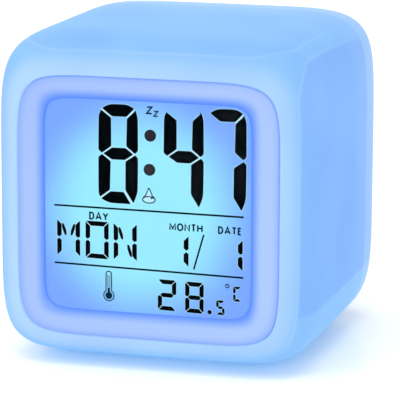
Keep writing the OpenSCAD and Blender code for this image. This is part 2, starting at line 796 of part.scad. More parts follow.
module bridge_screws() {
    color(metal) for (x = [-1, 1], y = [-1, 1])
        translate([x * bridge_post_x, y * bridge_post_y, bridge_z + bridge_t]) screw(1.8, m2_r, 7.6);
}

module snooze_board() {
    z = bridge_z - snooze_board_t;
    color(board_green) difference() {
        box([-9.5, -7, z], [9.5, 7, bridge_z]);
        for (x = [-snooze_screw_x, snooze_screw_x])
            translate([x, 0, z - 1]) cylinder(r = m2_r + 0.2, h = 4);
    }
}

module snooze_screws() {
    color(metal) for (x = [-snooze_screw_x, snooze_screw_x])
        translate([x, 0, bridge_z - snooze_board_t]) rotate([180, 0, 0]) screw(1.7, m2_r, 2.8);
}

module snooze_switch() {
    z = snooze_switch_z;
    bore_top = boss_top + snooze_plunger_l + press_travel + 0.1;
    color([0.12, 0.12, 0.13]) difference() {
        box([-3, -3, z], [3, 3, z + switch_t]);
        translate([0, 0, z - 1]) cylinder(r = plunger_r + fit_gap, h = bore_top - z + 1);
    }
}

module snooze_plunger() {
    color([0.85, 0.3, 0.25]) translate([0, 0, boss_top]) cylinder(r = plunger_r, h = snooze_plunger_l);
}

// ---------- wiring ----------

// Height of the ribbon, sagging between its two sockets
function ribbon_z(t) =
    z_mid + ribbon_board_z + t * (key_z - z_mid - ribbon_board_z) - ribbon_sag * sin(180 * t);

module ribbon_cable() {
    y1 = y_parts + socket_t;
    y2 = y_key_board - socket_t;
    steps = 24;
    function edge(i, side) = [y1 + (y2 - y1) * i / steps, ribbon_z(i / steps) + side * ribbon_t / 2];
    color([0.8, 0.82, 0.84]) translate([ribbon_x - ribbon_w / 2, 0, 0]) rotate([90, 0, 90])
        linear_extrude(ribbon_w)
            polygon(concat([for (i = [0 : steps]) edge(i, -1)], [for (i = [steps : -1 : 0]) edge(i, 1)]));
    color([0.9, 0.88, 0.8])
        box([ribbon_x - socket_w / 2, y2, key_z - 2.2], [ribbon_x + socket_w / 2, y_key_board, key_z + 2.2]);
}

// The routes below are lists of [y, z] points at one x
module lead(x, route, r) {
    wire([for (p = route) [x, p[0], p[1]]], r);
}

module battery_leads() {
    route = [[bay_y, bay_z + 3], [17, bridge_z + 4.4], [0, bridge_z + 6], [-16, bridge_z + 8],
        [y_parts + 4, bridge_z + 9], [y_parts + fit_gap, bridge_z + 9]];
    color("black") lead(cell_x[0], route, lead_r);
    color("red") lead(cell_x[3], route, lead_r);
}

module snooze_leads() {
    z = bridge_z - snooze_board_t / 2;
    route = [[-7, z], [-12, z - 0.3], [-17, z - 0.2], [-21, z + 3],
        [y_parts + 3, z + 6], [y_parts + fit_gap, z + 6]];
    color("gray") for (x = [-2, 2]) lead(x, route, snooze_lead_r);
}

shell();
front_bezel();
display_window();
lcd_glass();
light_diffuser();
display_holder();
zebra_strip();
main_board();
board_parts();
light_leds();
backlight_leds();
temperature_sensor();
buzzer();
bezel_screws();
rear_cover();
rear_screws();
button_board();
button_switches();
mode_button();
mode_plunger();
set_button();
set_plunger();
up_button();
up_plunger();
down_button();
down_plunger();
light_switch_frame();
light_switch_knob();
board_screws();
battery_cover();
battery_1();
battery_2();
battery_3();
battery_4();
battery_springs();
battery_plates();
foot_plate();
rubber_feet();
foot_springs();
foot_bridge();
bridge_screws();
snooze_board();
snooze_switch();
snooze_plunger();
snooze_screws();
ribbon_cable();
battery_leads();
snooze_leads();
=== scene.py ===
"""Looks of a cube alarm clock with a night light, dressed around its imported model.

Shapes and finishes are worked out in millimetres; the studio's lengths are in metres, as
in Blender. +Z is up, the display faces -Y, and the origin is on the table under the middle
of the clock.
"""
import logging
from dataclasses import dataclass, field, replace
from enum import Enum
from functools import cache

import bmesh
import bpy
import numpy as np
from mathutils import Matrix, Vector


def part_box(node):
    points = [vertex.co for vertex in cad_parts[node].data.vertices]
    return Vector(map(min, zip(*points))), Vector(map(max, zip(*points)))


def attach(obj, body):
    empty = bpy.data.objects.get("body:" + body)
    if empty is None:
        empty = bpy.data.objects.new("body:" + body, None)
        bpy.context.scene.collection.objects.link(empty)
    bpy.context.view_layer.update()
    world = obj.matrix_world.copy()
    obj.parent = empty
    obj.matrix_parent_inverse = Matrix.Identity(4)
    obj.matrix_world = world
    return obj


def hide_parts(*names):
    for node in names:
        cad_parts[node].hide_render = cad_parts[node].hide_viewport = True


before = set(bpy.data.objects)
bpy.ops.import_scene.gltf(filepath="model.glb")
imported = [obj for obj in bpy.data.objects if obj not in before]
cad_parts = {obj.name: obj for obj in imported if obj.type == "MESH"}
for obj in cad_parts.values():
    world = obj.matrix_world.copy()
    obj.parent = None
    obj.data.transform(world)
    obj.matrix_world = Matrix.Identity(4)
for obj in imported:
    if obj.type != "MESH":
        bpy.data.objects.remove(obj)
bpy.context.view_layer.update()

log = logging.getLogger("clock")
Array = np.ndarray
Point = tuple[float, float]
Mesh, Object, Node, NodeTree = bpy.types.Mesh, bpy.types.Object, bpy.types.Node, bpy.types.NodeTree
Socket, Sockets = bpy.types.NodeSocket, bpy.types.bpy_prop_collection
MM = 0.001
SAME_M, CAD_SAME_M = 1e-7, 2e-6  # points nearer than this are merged, in own meshes and in CAD ones
MITRE_LIMIT = 0.4  # keeps the mitres of sharp bends short
Z_MID = 41.2  # height of the middle of the housing
LEAN = 0.14  # shift to the right for each millimetre that a section's middle lies lower
CELL_LOW, CELL_HIGH = 17.6, 57.0  # foot of a cell that points up, and of one that points down
CELL_CAN = 43.5  # length of a cell without its tip


@dataclass(frozen=True)
class Square:
    """Half width, half height, corner power and height of the middle of a soft square, in millimetres."""

    w: float
    h: float
    power: float
    z: float


BEZEL = Square(32.7, 31.9, 7.4, 39.8)
WINDOW = Square(25.7, 25.8, 12.0, 40.3)


# ---------------------------------------------------------------- meshes

def smooth(mesh: Mesh, angle: float) -> None:
    """Shades a mesh smoothly but for edges that turn by more than the angle in degrees."""
    mesh.polygons.foreach_set("use_smooth", np.ones(len(mesh.polygons), dtype=bool))
    mesh.set_sharp_from_angle(angle=float(np.radians(angle)))


def linked(name: str, mesh: Mesh, angle: float = 40.0) -> Object:
    """Puts a mesh in the scene as a new object of the same name, shaded smoothly."""
    mesh.name = name
    smooth(mesh, angle)
    obj = bpy.data.objects.new(name, mesh)
    bpy.context.scene.collection.objects.link(obj)
    return obj


def mesh_from(points_mm: Array, faces: list[Array]) -> Mesh:
    """Fills a mesh from whole arrays.

    Args:
        points_mm: (n, 3) points in millimetres.
        faces: arrays of vertex numbers, one row a face; each array has faces of one size.

    Returns:
        A mesh in metres with doubles merged and faces turned outwards.
    """
    mesh = bpy.data.meshes.new("work")
    sizes = np.concatenate([np.full(len(f), f.shape[1]) for f in faces])
    mesh.vertices.add(len(points_mm))
    mesh.vertices.foreach_set("co", (np.asarray(points_mm, float) * MM).ravel())
    mesh.loops.add(int(sizes.sum()))
    mesh.loops.foreach_set("vertex_index", np.concatenate([f.ravel() for f in faces]).astype(np.int32))
    mesh.polygons.add(len(sizes))
    mesh.polygons.foreach_set("loop_start", (np.cumsum(sizes) - sizes).astype(np.int32))
    mesh.update(calc_edges=True)
    mesh.validate()
    work = bmesh.new()
    work.from_mesh(mesh)
    bmesh.ops.remove_doubles(work, verts=work.verts, dist=SAME_M)
    bmesh.ops.recalc_face_normals(work, faces=work.faces)
    work.to_mesh(mesh)
    work.free()
    return mesh


def grid_faces(rows: int, columns: int, wrap_rows: bool, start: int) -> Array:
    """Quads between neighbouring points of a grid whose rows are closed.

    Args:
        rows: number of rows of points.
        columns: number of points in a row.
        wrap_rows: also joins the last row to the first.
        start: number of the grid's first vertex.

    Returns:
        (m, 4) vertex numbers.
    """
    i, j = np.meshgrid(np.arange(rows if wrap_rows else rows - 1), np.arange(columns), indexing="ij")
    i2, j2 = (i + 1) % rows, (j + 1) % columns
    quads = np.stack([i * columns + j, i * columns + j2, i2 * columns + j2, i2 * columns + j], axis=-1)
    return quads.reshape(-1, 4) + start


def joined(parts: list[tuple[Array, bool]]) -> Mesh:
    """One mesh of several closed surfaces, each through rows of points that run once around a section.

    Args:
        parts: pairs of a (rows, columns, 3) grid in millimetres and whether its last row
            joins its first; otherwise both ends get a flat cap.

    Returns:
        The mesh.
    """
    points: list[Array] = []
    faces: list[Array] = []
    start = 0
    for grid, wrap in parts:
        rows, columns = grid.shape[:2]
        faces.append(grid_faces(rows, columns, wrap, start))
        if not wrap:
            ring = np.arange(columns) + start
            faces += [ring[None, ::-1], ring[None, :] + (rows - 1) * columns]
        points.append(grid.reshape(-1, 3))
        start += rows * columns
    return mesh_from(np.concatenate(points), faces)


def swept(grid: Array, wrap_rows: bool = False) -> Mesh:
    """One closed surface, as for joined()."""
    return joined([(grid, wrap_rows)])


def circle(x: float, z: float, r: float, count: int = 40) -> Array:
    """Points (x + r cos t, z + r sin t) for even steps of t over a full turn."""
    t = np.linspace(0, 2 * np.pi, count, endpoint=False)
    return np.stack([x + r * np.cos(t), z + r * np.sin(t)], axis=-1)


def turned(profile: Array, centre: tuple[float, float, float], axis: str, count: int) -> Array:
    """Surface of revolution: each profile point (r, h) is carried round a full circle.

    A point lies at centre + r (cos t, sin t) across the axis and h along it, for t from 0
    to a full turn.

    Args:
        profile: (n, 2) radius and height in millimetres.
        centre: foot of the axis in millimetres.
        axis: "y" or "z".
        count: points in a circle.

    Returns:
        (n, count, 3) grid.
    """
    t = np.linspace(0, 2 * np.pi, count, endpoint=False)
    r, h = profile[:, :1], profile[:, 1:]
    a, b, along = r * np.cos(t), r * np.sin(t), h + 0 * t
    return np.stack([a, along, b] if axis == "y" else [a, b, along], axis=-1) + np.array(centre)


def rounded(corners: Array | list[Point], radii: list[float], steps: int = 5) -> Array:
    """Outline or profile whose corners are cut back by their radii and joined by curves.

    A corner p between a and b becomes (1-t)^2 a + 2t(1-t) p + t^2 b.

    Args:
        corners: the corners.
        radii: cut-back length at each corner, 0 for a sharp one.
        steps: points on a curve.

    Returns:
        (n, 2) points.
    """
    out: list[Array] = []
    p = np.asarray(corners, float)
    for i, radius in enumerate(radii):
        if radius == 0:
            out.append(p[i:i + 1])
            continue
        before, after = p[i - 1] - p[i], p[(i + 1) % len(p)] - p[i]
        a = p[i] + before / np.linalg.norm(before) * radius
        b = p[i] + after / np.linalg.norm(after) * radius
        t = np.linspace(0, 1, steps)[:, None]
        out.append((1 - t) ** 2 * a + 2 * t * (1 - t) * p[i] + t ** 2 * b)
    return np.concatenate(out)


def soft_square(w: Array, h: Array, power: Array, count: int) -> Array:
    """Superellipses |x/w|^n + |z/h|^n = 1, one for each entry of the three arrays.

    The direction (c, s) takes the signed square roots of cosine and sine, so that even
    steps of the angle crowd towards the corners.

    Args:
        w: half widths.
        h: half heights.
        power: exponents n.
        count: points on an outline.

    Returns:
        (len(w), count, 2) outline points.
    """
    t = 2 * np.pi * np.arange(count) / count
    c = np.sign(np.cos(t)) * np.sqrt(np.abs(np.cos(t)))
    s = np.sign(np.sin(t)) * np.sqrt(np.abs(np.sin(t)))
    n = power[:, None]
    r = (np.abs(c) ** n + np.abs(s) ** n) ** (-1 / n)
    return np.stack([w[:, None] * c * r, h[:, None] * s * r], axis=-1)


def section_grid(sections: Array, count: int) -> Array:
    """Points of upright soft squares at the given depths.

    A section whose middle lies lower also lies LEAN times as much to the right.

    Args:
        sections: (n, 5) rows of half width, half height, power, y and height of the middle.
        count: points on a section.

    Returns:
        (n, count, 3) grid in millimetres.
    """
    w, h, power, y, z = sections.T
    xz = soft_square(w, h, power, count)
    y = np.broadcast_to(y[:, None], xz.shape[:2])
    return np.stack([xz[..., 0] + LEAN * (Z_MID - z[:, None]), y, z[:, None] + xz[..., 1]], axis=-1)


def cad_copy(node: str, name: str, angle: float = 30.0, bevel_mm: float = 0.0) -> Object:
    """A merged copy of a CAD node's mesh that can be shaded smoothly.

    Args:
        node: CAD node.
        name: name of the new piece.
        angle: edges sharper than this many degrees stay sharp.
        bevel_mm: width of the rounding of sharp edges, 0 for none.

    Returns:
        The new object.
    """
    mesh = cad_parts[node].data.copy()
    mesh.materials.clear()
    work = bmesh.new()
    work.from_mesh(mesh)
    bmesh.ops.remove_doubles(work, verts=work.verts, dist=CAD_SAME_M)
    bmesh.ops.dissolve_limit(work, angle_limit=float(np.radians(0.3)), verts=work.verts, edges=work.edges)
    work.to_mesh(mesh)
    work.free()
    stored = mesh.attributes.get("custom_normal")
    if stored is not None:
        mesh.attributes.remove(stored)
    obj = linked(name, mesh, angle)
    if bevel_mm:
        bevel = obj.modifiers.new("rounding", "BEVEL")
        bevel.width = bevel_mm * MM
        bevel.segments = 2
        bevel.limit_method = "ANGLE"
        bevel.angle_limit = float(np.radians(50))
        bevel.harden_normals = False
    return obj


def cut(obj: Object, tool: Mesh, operation: str = "DIFFERENCE") -> None:
    """Cuts a piece with a closed mesh and keeps the result as the piece's mesh.

    Args:
        obj: the piece.
        tool: the closed mesh.
        operation: DIFFERENCE takes the tool away, INTERSECT keeps what lies inside it.
    """
    cutter = bpy.data.objects.new("cutter", tool)
    bpy.context.scene.collection.objects.link(cutter)
    step = obj.modifiers.new("cut", "BOOLEAN")
    step.object = cutter
    step.operation = operation
    step.solver = "EXACT"
    bpy.context.view_layer.update()
    result = bpy.data.meshes.new_from_object(obj.evaluated_get(bpy.context.evaluated_depsgraph_get()))
    obj.modifiers.remove(step)
    obj.data = result
    result.name = obj.name
    smooth(result, 40.0)
    bpy.data.objects.remove(cutter)


# ---------------------------------------------------------------- node trees

class Graph:
    """Short calls that add nodes to a material or a node group."""

    def __init__(self, tree: NodeTree) -> None:
        """Works on the given tree."""
        self.tree = tree

    def node(self, kind: str, **settings: object) -> Node:
        """Adds a node and sets its properties."""
        made = self.tree.nodes.new(kind)
        for key, value in settings.items():
            setattr(made, key, value)
        return made

    def feed(self, target: Socket, source: object) -> None:
        """Links a socket into another one, or sets a plain number or colour on it."""
        if isinstance(source, Socket):
            self.tree.links.new(source, target)
        else:
            target.default_value = source

    def fill(self, node: Node, **values: object) -> Node:
        """Feeds a node's inputs by name, with _ for a space, and gives the node back."""
        for key, value in values.items():
            self.feed(node.inputs[key.replace("_", " ")], value)
        return node

    def math(self, operation: str, *inputs: object, clamp: bool = False) -> Socket:
        """Adds a Math node on up to three inputs and returns its result."""
        made = self.node("ShaderNodeMath", operation=operation, use_clamp=clamp)
        for target, source in zip(made.inputs, inputs):
            self.feed(target, source)
        return made.outputs[0]

    def add(self, first: object, *others: object) -> Socket:
        """Sum of two or more values."""
        for other in others:
            first = self.math("ADD", first, other)
        return first

    def sub(self, a: object, b: object) -> Socket:
        """Difference of two values."""
        return self.math("SUBTRACT", a, b)

    def mul(self, first: object, *others: object) -> Socket:
        """Product of two or more values."""
        for other in others:
            first = self.math("MULTIPLY", first, other)
        return first

    def line(self, value: object, slope: object, start: object, clamp: bool = False) -> Socket:
        """The value times a slope, plus a start."""
        return self.math("MULTIPLY_ADD", value, slope, start, clamp=clamp)

    def length(self, a: object, b: object) -> Socket:
        """Root of the sum of two squares."""
        return self.math("SQRT", self.add(self.mul(a, a), self.mul(b, b)))

    def span(self, value: object, low: float, high: float, a: float = 0.0, b: float = 1.0) -> Socket:
        """Maps a value from low..high to a..b along a smooth step."""
        made = self.node("ShaderNodeMapRange", interpolation_type="SMOOTHSTEP")
        for target, source in zip(made.inputs, (value, low, high, a, b)):
            self.feed(target, source)
        return made.outputs[0]

    def fall(self, value: object, low: float, high: float) -> Socket:
        """A smooth step down from 1 at low to 0 at high."""
        return self.span(value, low, high, 1.0, 0.0)

    def mix(self, share: object, a: object, b: object) -> Socket:
        """Mixes two colours by a share."""
        made = self.node("ShaderNodeMix", data_type="RGBA")
        for target, source in zip((made.inputs[0], made.inputs[6], made.inputs[7]), (share, a, b)):
            self.feed(target, source)
        return made.outputs[2]

    def noise(self, vector: Socket, scale: object, detail: float = 3.0, roughness: float = 0.55) -> Socket:
        """Adds a noise texture and returns its value."""
        made = self.node("ShaderNodeTexNoise")
        return self.fill(made, Vector=vector, Scale=scale, Detail=detail, Roughness=roughness).outputs[0]

    def place(self) -> Socket:
        """Object coordinates, in metres."""
        return self.node("ShaderNodeTexCoord").outputs["Object"]

    def centred_mm(self, middle: float = Z_MID) -> tuple[Socket, Socket, Socket]:
        """Object coordinates in millimetres, with z from the given height."""
        made = self.fill(self.node("ShaderNodeSeparateXYZ"), Vector=self.place())
        x, y, z = made.outputs
        return self.mul(x, 1 / MM), self.mul(y, 1 / MM), self.line(z, 1 / MM, -middle)

    def group(self, tree: NodeTree, **values: object) -> Node:
        """Places a node group and feeds its inputs by name."""
        return self.fill(self.node("ShaderNodeGroup", node_tree=tree), **values)

    def bump(self, height: Socket, distance_mm: float) -> Socket:
        """Turns a height of 0 to 1 into a normal, full height at distance_mm."""
        made = self.node("ShaderNodeBump")
        return self.fill(made, Strength=1.0, Distance=distance_mm * MM, Height=height).outputs[0]


def new_group(name: str, inputs: dict[str, float], *outputs: str) -> tuple[Graph, Sockets, Node]:
    """Starts a node group.

    Args:
        name: name of the group.
        inputs: value inputs and what each starts at.
        outputs: names of the value outputs.

    Returns:
        A graph on the group, the group's inputs as sockets by name, and its output node.
    """
    tree = bpy.data.node_groups.new(name, "ShaderNodeTree")
    for key, value in inputs.items():
        tree.interface.new_socket(key, in_out="INPUT", socket_type="NodeSocketFloat").default_value = value
    for key in outputs:
        tree.interface.new_socket(key, in_out="OUTPUT", socket_type="NodeSocketFloat")
    g = Graph(tree)
    return g, g.node("NodeGroupInput").outputs, g.node("NodeGroupOutput")


@cache
def moulded_grain() -> NodeTree:
    """Group: the fine spark-eroded grain of a mould, with soft broad flow marks in it."""
    g, given, put = new_group("moulded_grain", {"Scale": 2600.0, "Flow Scale": 45.0}, "Height", "Flow")
    place = g.place()
    g.fill(put, Height=g.noise(place, given["Scale"], 2.0, 0.6), Flow=g.noise(place, given["Flow Scale"], 2.0, 0.45))
    return g.tree


@cache
def soft_frame() -> NodeTree:
    """Group: how far out a point lies on soft squares about the middle of the display; 1 is on the square."""
    g, given, put = new_group("soft_frame", {"Half Width": WINDOW.w, "Half Height": WINDOW.h,
                                             "Power": WINDOW.power, "Drop": Z_MID - WINDOW.z}, "Share")
    x, _, z = g.centred_mm()
    power, drop = given["Power"], given["Drop"]
    sides = ((g.sub(x, g.mul(drop, LEAN)), "Half Width"), (g.add(z, drop), "Half Height"))
    powers = [g.math("POWER", g.math("DIVIDE", g.math("ABSOLUTE", value), given[key]), power) for value, key in sides]
    g.fill(put, Share=g.math("POWER", g.add(*powers), g.math("DIVIDE", 1.0, power)))
    return g.tree


@cache
def panel_crease() -> NodeTree:
    """Group: the thin ridge round the flat panel of each side.

    A panel is a rounded square in u across and v = -y towards the front: u is |x| on top
    and z on a side. Line is 1 on the ridge and fades to the rear; Inside is 1 on the
    panel; Side is 1 on the sides.
    """
    half_panel, front_end, euler = 33.75, 37.0, 2.718
    g, given, put = new_group("panel_crease", {"Width": 0.3, "Radius": 11.0}, "Line", "Inside", "Side")
    x, y, z = g.centred_mm()
    across = g.math("ABSOLUTE", x)
    side = g.math("GREATER_THAN", across, g.math("ABSOLUTE", z))
    top = g.sub(1.0, side)
    radius = given["Radius"]
    half = g.line(side, g.span(y, -12.0, 20.0, 1.2, 0.0), half_panel)
    u = g.add(g.sub(g.add(g.mul(side, z), g.mul(top, across)), half), radius)
    v = g.add(g.sub(g.mul(y, -1.0), g.line(side, 0.2, front_end)), radius)
    out = g.length(g.math("MAXIMUM", u, 0.0), g.math("MAXIMUM", v, 0.0))
    inside = g.math("MINIMUM", g.math("MAXIMUM", u, v), 0.0)
    distance = g.sub(g.add(out, inside), radius)
    share = g.math("DIVIDE", distance, given["Width"])
    ridge = g.math("POWER", euler, g.mul(share, share, -1.0))
    near = g.mul(g.math("MAXIMUM", g.span(z, -26.3, -25.1), top), g.fall(y, 30.0, 38.0))
    g.fill(put, Line=g.mul(ridge, g.fall(y, -20.0, 16.0)), Inside=g.mul(g.fall(distance, -0.5, 0.3), near), Side=side)
    return g.tree


@cache
def handled_wear() -> NodeTree:
    """Group: faint dust and handling marks, as a mask."""
    g, given, put = new_group("handled_wear", {"Amount": 0.5, "Scale": 120.0}, "Mask")
    broad = g.noise(g.place(), given["Scale"], 6.0, 0.7)
    g.fill(put, Mask=g.mul(g.span(broad, 0.5, 0.8), given["Amount"]))
    return g.tree


def out_from(g: Graph, square: Square) -> Socket:
    """Places soft_frame for a soft square: below 1 inside it, above 1 outside."""
    return g.group(soft_frame(), Half_Width=square.w, Half_Height=square.h, Power=square.power,
                   Drop=Z_MID - square.z).outputs["Share"]


def wear(g: Graph, amount: float, scale: float = 120.0) -> Socket:
    """Places handled_wear."""
    return g.group(handled_wear(), Amount=amount, Scale=scale).outputs["Mask"]


# ---------------------------------------------------------------- finishes

Colour = tuple[float, float, float]
Inputs = dict[str, object]


def rgba(colour: Colour, gain: float = 1.0) -> tuple[float, float, float, float]:
    """Linear colour of an sRGB one given in 0..255, times a gain, with full alpha."""
    c = np.array(colour, float) / 255
    r, g, b = np.where(c <= 0.04045, c / 12.92, ((c + 0.055) / 1.055) ** 2.4) * gain
    return float(r), float(g), float(b), 1.0


@dataclass(frozen=True)
class Finish:
    """A finish; its material is made once and then shared."""

    name: str

    def paint(self, g: Graph) -> Inputs:
        """Adds the finish's nodes and returns the shader's inputs by name, with _ for a space."""
        raise NotImplementedError

    def material(self) -> bpy.types.Material:
        """The finish's one material: a Principled shader with the painted inputs."""
        material = bpy.data.materials.get(self.name)
        if material is None:
            material = bpy.data.materials.new(self.name)
            material.use_nodes = True
            material.node_tree.nodes.clear()
            g = Graph(material.node_tree)
            shader = g.node("ShaderNodeBsdfPrincipled")
            g.feed(g.node("ShaderNodeOutputMaterial").inputs[0], shader.outputs[0])
            g.fill(shader, **self.paint(g))
        return material


@dataclass(frozen=True)
class GlowPlastic(Finish):
    """Frosted plastic lit from inside, with painted highlights round the display, along the creases and towards the
    rear, and painted shade on the sides and in the rear wells and seams.
    """

    # band is the glow of the front band and deep the glow of the panels, which the sides take fully as painted shade;
    # light colours the painted highlights.
    base: Colour = (75, 86, 117)
    deep: Colour = (82, 148, 220)
    band: Colour = (104, 166, 218)
    light: Colour = (150, 186, 217)

    def paint(self, g: Graph) -> Inputs:
        """Mixes the glow of panels and bands with painted highlights and painted shade, by the place on the housing."""
        grain = g.group(moulded_grain()).outputs
        crease = g.group(panel_crease()).outputs
        line, inside, on_side = crease["Line"], crease["Inside"], crease["Side"]
        out = out_from(g, BEZEL)
        x, y, z = g.centred_mm()
        # Painted highlight round the bezel, weaker to the right, and a painted highlight towards the rear, in two
        # steps.
        front = g.mul(g.fall(out, 1.0, 1.26), g.fall(y, -39.2, -36.0), g.span(x, -30.0, 30.0, 1.0, 0.72))
        rear = g.add(g.span(y, 2.0, 19.0, 0.0, 0.14), g.span(y, 19.4, 21.2, 0.0, 0.34))
        flow = g.span(grain["Flow"], 0.3, 0.7, 0.0, 0.06)
        # Painted light on the panels: the sides are lighter at the front and up, the top towards the rear.
        side = g.add(g.span(y, -37.0, -18.0, 0.1, 0.0), g.span(z, 0.0, 33.0, 0.0, 0.14))
        top = g.span(y, 0.0, 30.0, 0.0, 0.16)
        faces = g.mul(g.add(top, g.mul(g.sub(side, top), on_side)), inside)
        # Painted highlight along the crease ridge, which also has a real bump in the normal.
        lit = g.line(line, 0.3, g.add(front, rear, flow, faces), clamp=True)
        # Painted shade: the side panels take the deep colour fully and the top only in part, so the sides are darker
        # than the top.
        body = g.mix(g.mul(inside, g.line(on_side, 0.85, 0.15)), rgba(self.band), rgba(self.deep))
        # Painted shade: the glow is dimmer in the wells and seams of the rear face.
        well = g.mul(g.fall(y, 37.6, 39.0), g.fall(out, 0.98, 1.04))
        seam = g.mul(g.fall(y, 38.9, 39.6), g.fall(out, 0.86, 0.92))
        painted_recess_shade = g.mul(g.math("MAXIMUM", well, seam), g.math("GREATER_THAN", y, 20.0))
        return {"Emission_Color": g.mix(lit, body, rgba(self.light)),
                "Emission_Strength": g.line(painted_recess_shade, -0.45, 1.0),
                "Base_Color": g.mix(flow, rgba(self.base), rgba(self.light)),
                "Roughness": g.line(grain["Flow"], 0.12, 0.36),
                "Normal": g.bump(g.line(grain["Height"], 0.05, line), 0.03),
                "Specular_IOR_Level": 0.05}


@dataclass(frozen=True)
class RingPlastic(Finish):
    """Bezel plastic: glowing, with painted shade that is deeper blue towards the window, darker at its outer rim and
    towards the left and top.
    """

    base: Colour = (86, 94, 134)
    glow: Colour = (131, 164, 209)
    # deep and rim are the colours of the painted shade at the inner edge and the outer rim.
    deep: Colour = (48, 86, 192)
    rim: Colour = (92, 132, 200)

    def paint(self, g: Graph) -> Inputs:
        """Mixes the glowing body with painted shade: a deep inner edge and a darker outer rim."""
        grain = g.group(moulded_grain()).outputs
        # Painted shade: the face turns deep blue where it rolls in to the window, and darker at its outer rim.
        edge = g.fall(out_from(g, WINDOW), 0.995, 1.11)
        rim = g.span(out_from(g, BEZEL), 0.93, 1.0, 0.0, 0.9)
        x, _, z = g.centred_mm()
        # Painted shade: the ring is darker towards the left and the top.
        shade = g.add(g.span(x, -34.0, 24.0, 0.1, 0.0), g.span(z, -6.0, 30.0, 0.0, 0.12))
        body = g.mix(g.add(g.mul(grain["Flow"], 0.1), shade), rgba(self.glow), rgba(self.deep))
        return {"Emission_Color": g.mix(rim, g.mix(edge, body, rgba(self.deep)), rgba(self.rim)),
                "Emission_Strength": 1.0,
                "Base_Color": g.mix(edge, rgba(self.base), rgba(self.deep)),
                "Roughness": g.line(grain["Flow"], 0.1, 0.36),
                "Normal": g.bump(grain["Height"], 0.004),
                "Specular_IOR_Level": 0.3}


@dataclass(frozen=True)
class Backlight(Finish):
    """Lit display: cyan in the middle, bluer towards its corners."""

    middle: Colour = (152, 233, 253)
    corner: Colour = (120, 163, 255)

    def paint(self, g: Graph) -> Inputs:
        """An ellipse of cyan light about a point left of and below the middle."""
        x, _, z = g.centred_mm(WINDOW.z)
        away = g.length(g.math("DIVIDE", g.add(x, 1.5), 27.0), g.math("DIVIDE", g.add(z, 0.8), 27.5))
        soft = g.noise(g.place(), 60.0, 1.0, 0.4)
        away = g.line(g.sub(soft, 0.5), 0.12, away)
        return {"Emission_Color": g.mix(g.span(away, 0.5, 1.12), rgba(self.middle), rgba(self.corner)),
                "Emission_Strength": 1.0,
                "Base_Color": g.mix(soft, (0.01, 0.02, 0.03, 1), (0.012, 0.024, 0.034, 1)),
                "Roughness": 0.5,
                "Specular_IOR_Level": 0.0}


@dataclass(frozen=True)
class Ink(Finish):
    """Liquid-crystal segments and printed marks: what little light passes them shows as a glow."""

    colour: Colour = (2, 5, 8)

    def paint(self, g: Graph) -> Inputs:
        """A black body with the colour let through, and a trace of unevenness."""
        patch = g.noise(g.place(), 700.0, 2.0)
        return {"Base_Color": g.mix(patch, (0.0002, 0.0003, 0.0004, 1), (0.0005, 0.0006, 0.0008, 1)),
                "Roughness": 0.6,
                "Specular_IOR_Level": 0.0,
                "Emission_Color": g.mix(patch, rgba(self.colour), rgba(self.colour, 1.1)),
                "Emission_Strength": 1.0}


@dataclass(frozen=True)
class ClearSheet(Finish):
    """Clear anti-glare plastic of the window."""

    def paint(self, g: Graph) -> Inputs:
        """Transmission with hardly any mirror reflection."""
        haze = wear(g, 0.05, 90.0)
        return {"Base_Color": g.mix(haze, (1, 1, 1, 1), (0.95, 0.97, 1.0, 1)),
                "Roughness": g.mul(haze, 0.02),
                "Transmission_Weight": 1.0,
                "IOR": 1.04,
                "Specular_IOR_Level": 0.05}


@dataclass(frozen=True)
class Plastic(Finish):
    """Opaque or milky moulded plastic with mould grain and faint handling marks."""

    colour: Colour = (230, 236, 242)
    roughness: float = 0.45
    grain_mm: float = 0.004
    glow: float = 0.0

    def paint(self, g: Graph) -> Inputs:
        """Grain in the normal, flow marks in the colour, wear in the roughness."""
        grain = g.group(moulded_grain(), Scale=2200.0).outputs
        tint = g.mix(g.span(grain["Flow"], 0.3, 0.75), rgba(self.colour), rgba(self.colour, 0.82))
        inputs = {"Base_Color": tint, "Roughness": g.line(wear(g, 0.5), 0.25, self.roughness),
                  "Normal": g.bump(grain["Height"], self.grain_mm)}
        if self.glow:
            inputs |= {"Emission_Color": tint, "Emission_Strength": self.glow}
        return inputs


@dataclass(frozen=True)
class Metal(Finish):
    """Plated steel with fine drawing lines."""

    colour: Colour = (205, 207, 212)
    roughness: float = 0.2

    def paint(self, g: Graph) -> Inputs:
        """Lines from a noise stretched along x, and slight tarnish."""
        stretch = g.fill(g.node("ShaderNodeMapping"), Scale=(0.15, 1.0, 1.0), Vector=g.place())
        lines = g.noise(stretch.outputs[0], 3000.0, 2.0)
        return {"Base_Color": g.mix(wear(g, 0.6, 260.0), rgba(self.colour), rgba(self.colour, 0.7)),
                "Metallic": 1.0,
                "Roughness": g.line(lines, 0.2, self.roughness),
                "Normal": g.bump(lines, 0.003)}


@dataclass(frozen=True)
class Board(Finish):
    """Solder-masked circuit board with tracks, pads and vias."""

    mask: Colour = (22, 96, 60)
    track: Colour = (38, 128, 80)
    pad: Colour = (205, 190, 130)

    def paint(self, g: Graph) -> Inputs:
        """Tracks are the edges of large cells, pads and vias small discs in their middles."""
        place = g.place()
        cells = g.fill(g.node("ShaderNodeTexVoronoi", feature="DISTANCE_TO_EDGE"), Vector=place, Scale=260.0,
                       Randomness=0.35)
        dots = g.fill(g.node("ShaderNodeTexVoronoi", feature="F1"), Vector=place, Scale=190.0)
        track = g.fall(cells.outputs["Distance"], 0.06, 0.09)
        via = g.fall(dots.outputs["Distance"], 0.08, 0.1)
        return {"Base_Color": g.mix(via, g.mix(track, rgba(self.mask), rgba(self.track)), rgba(self.pad)),
                "Roughness": g.line(g.noise(place, 300.0), 0.15, 0.3),
                "Normal": g.bump(g.add(track, via), 0.02)}


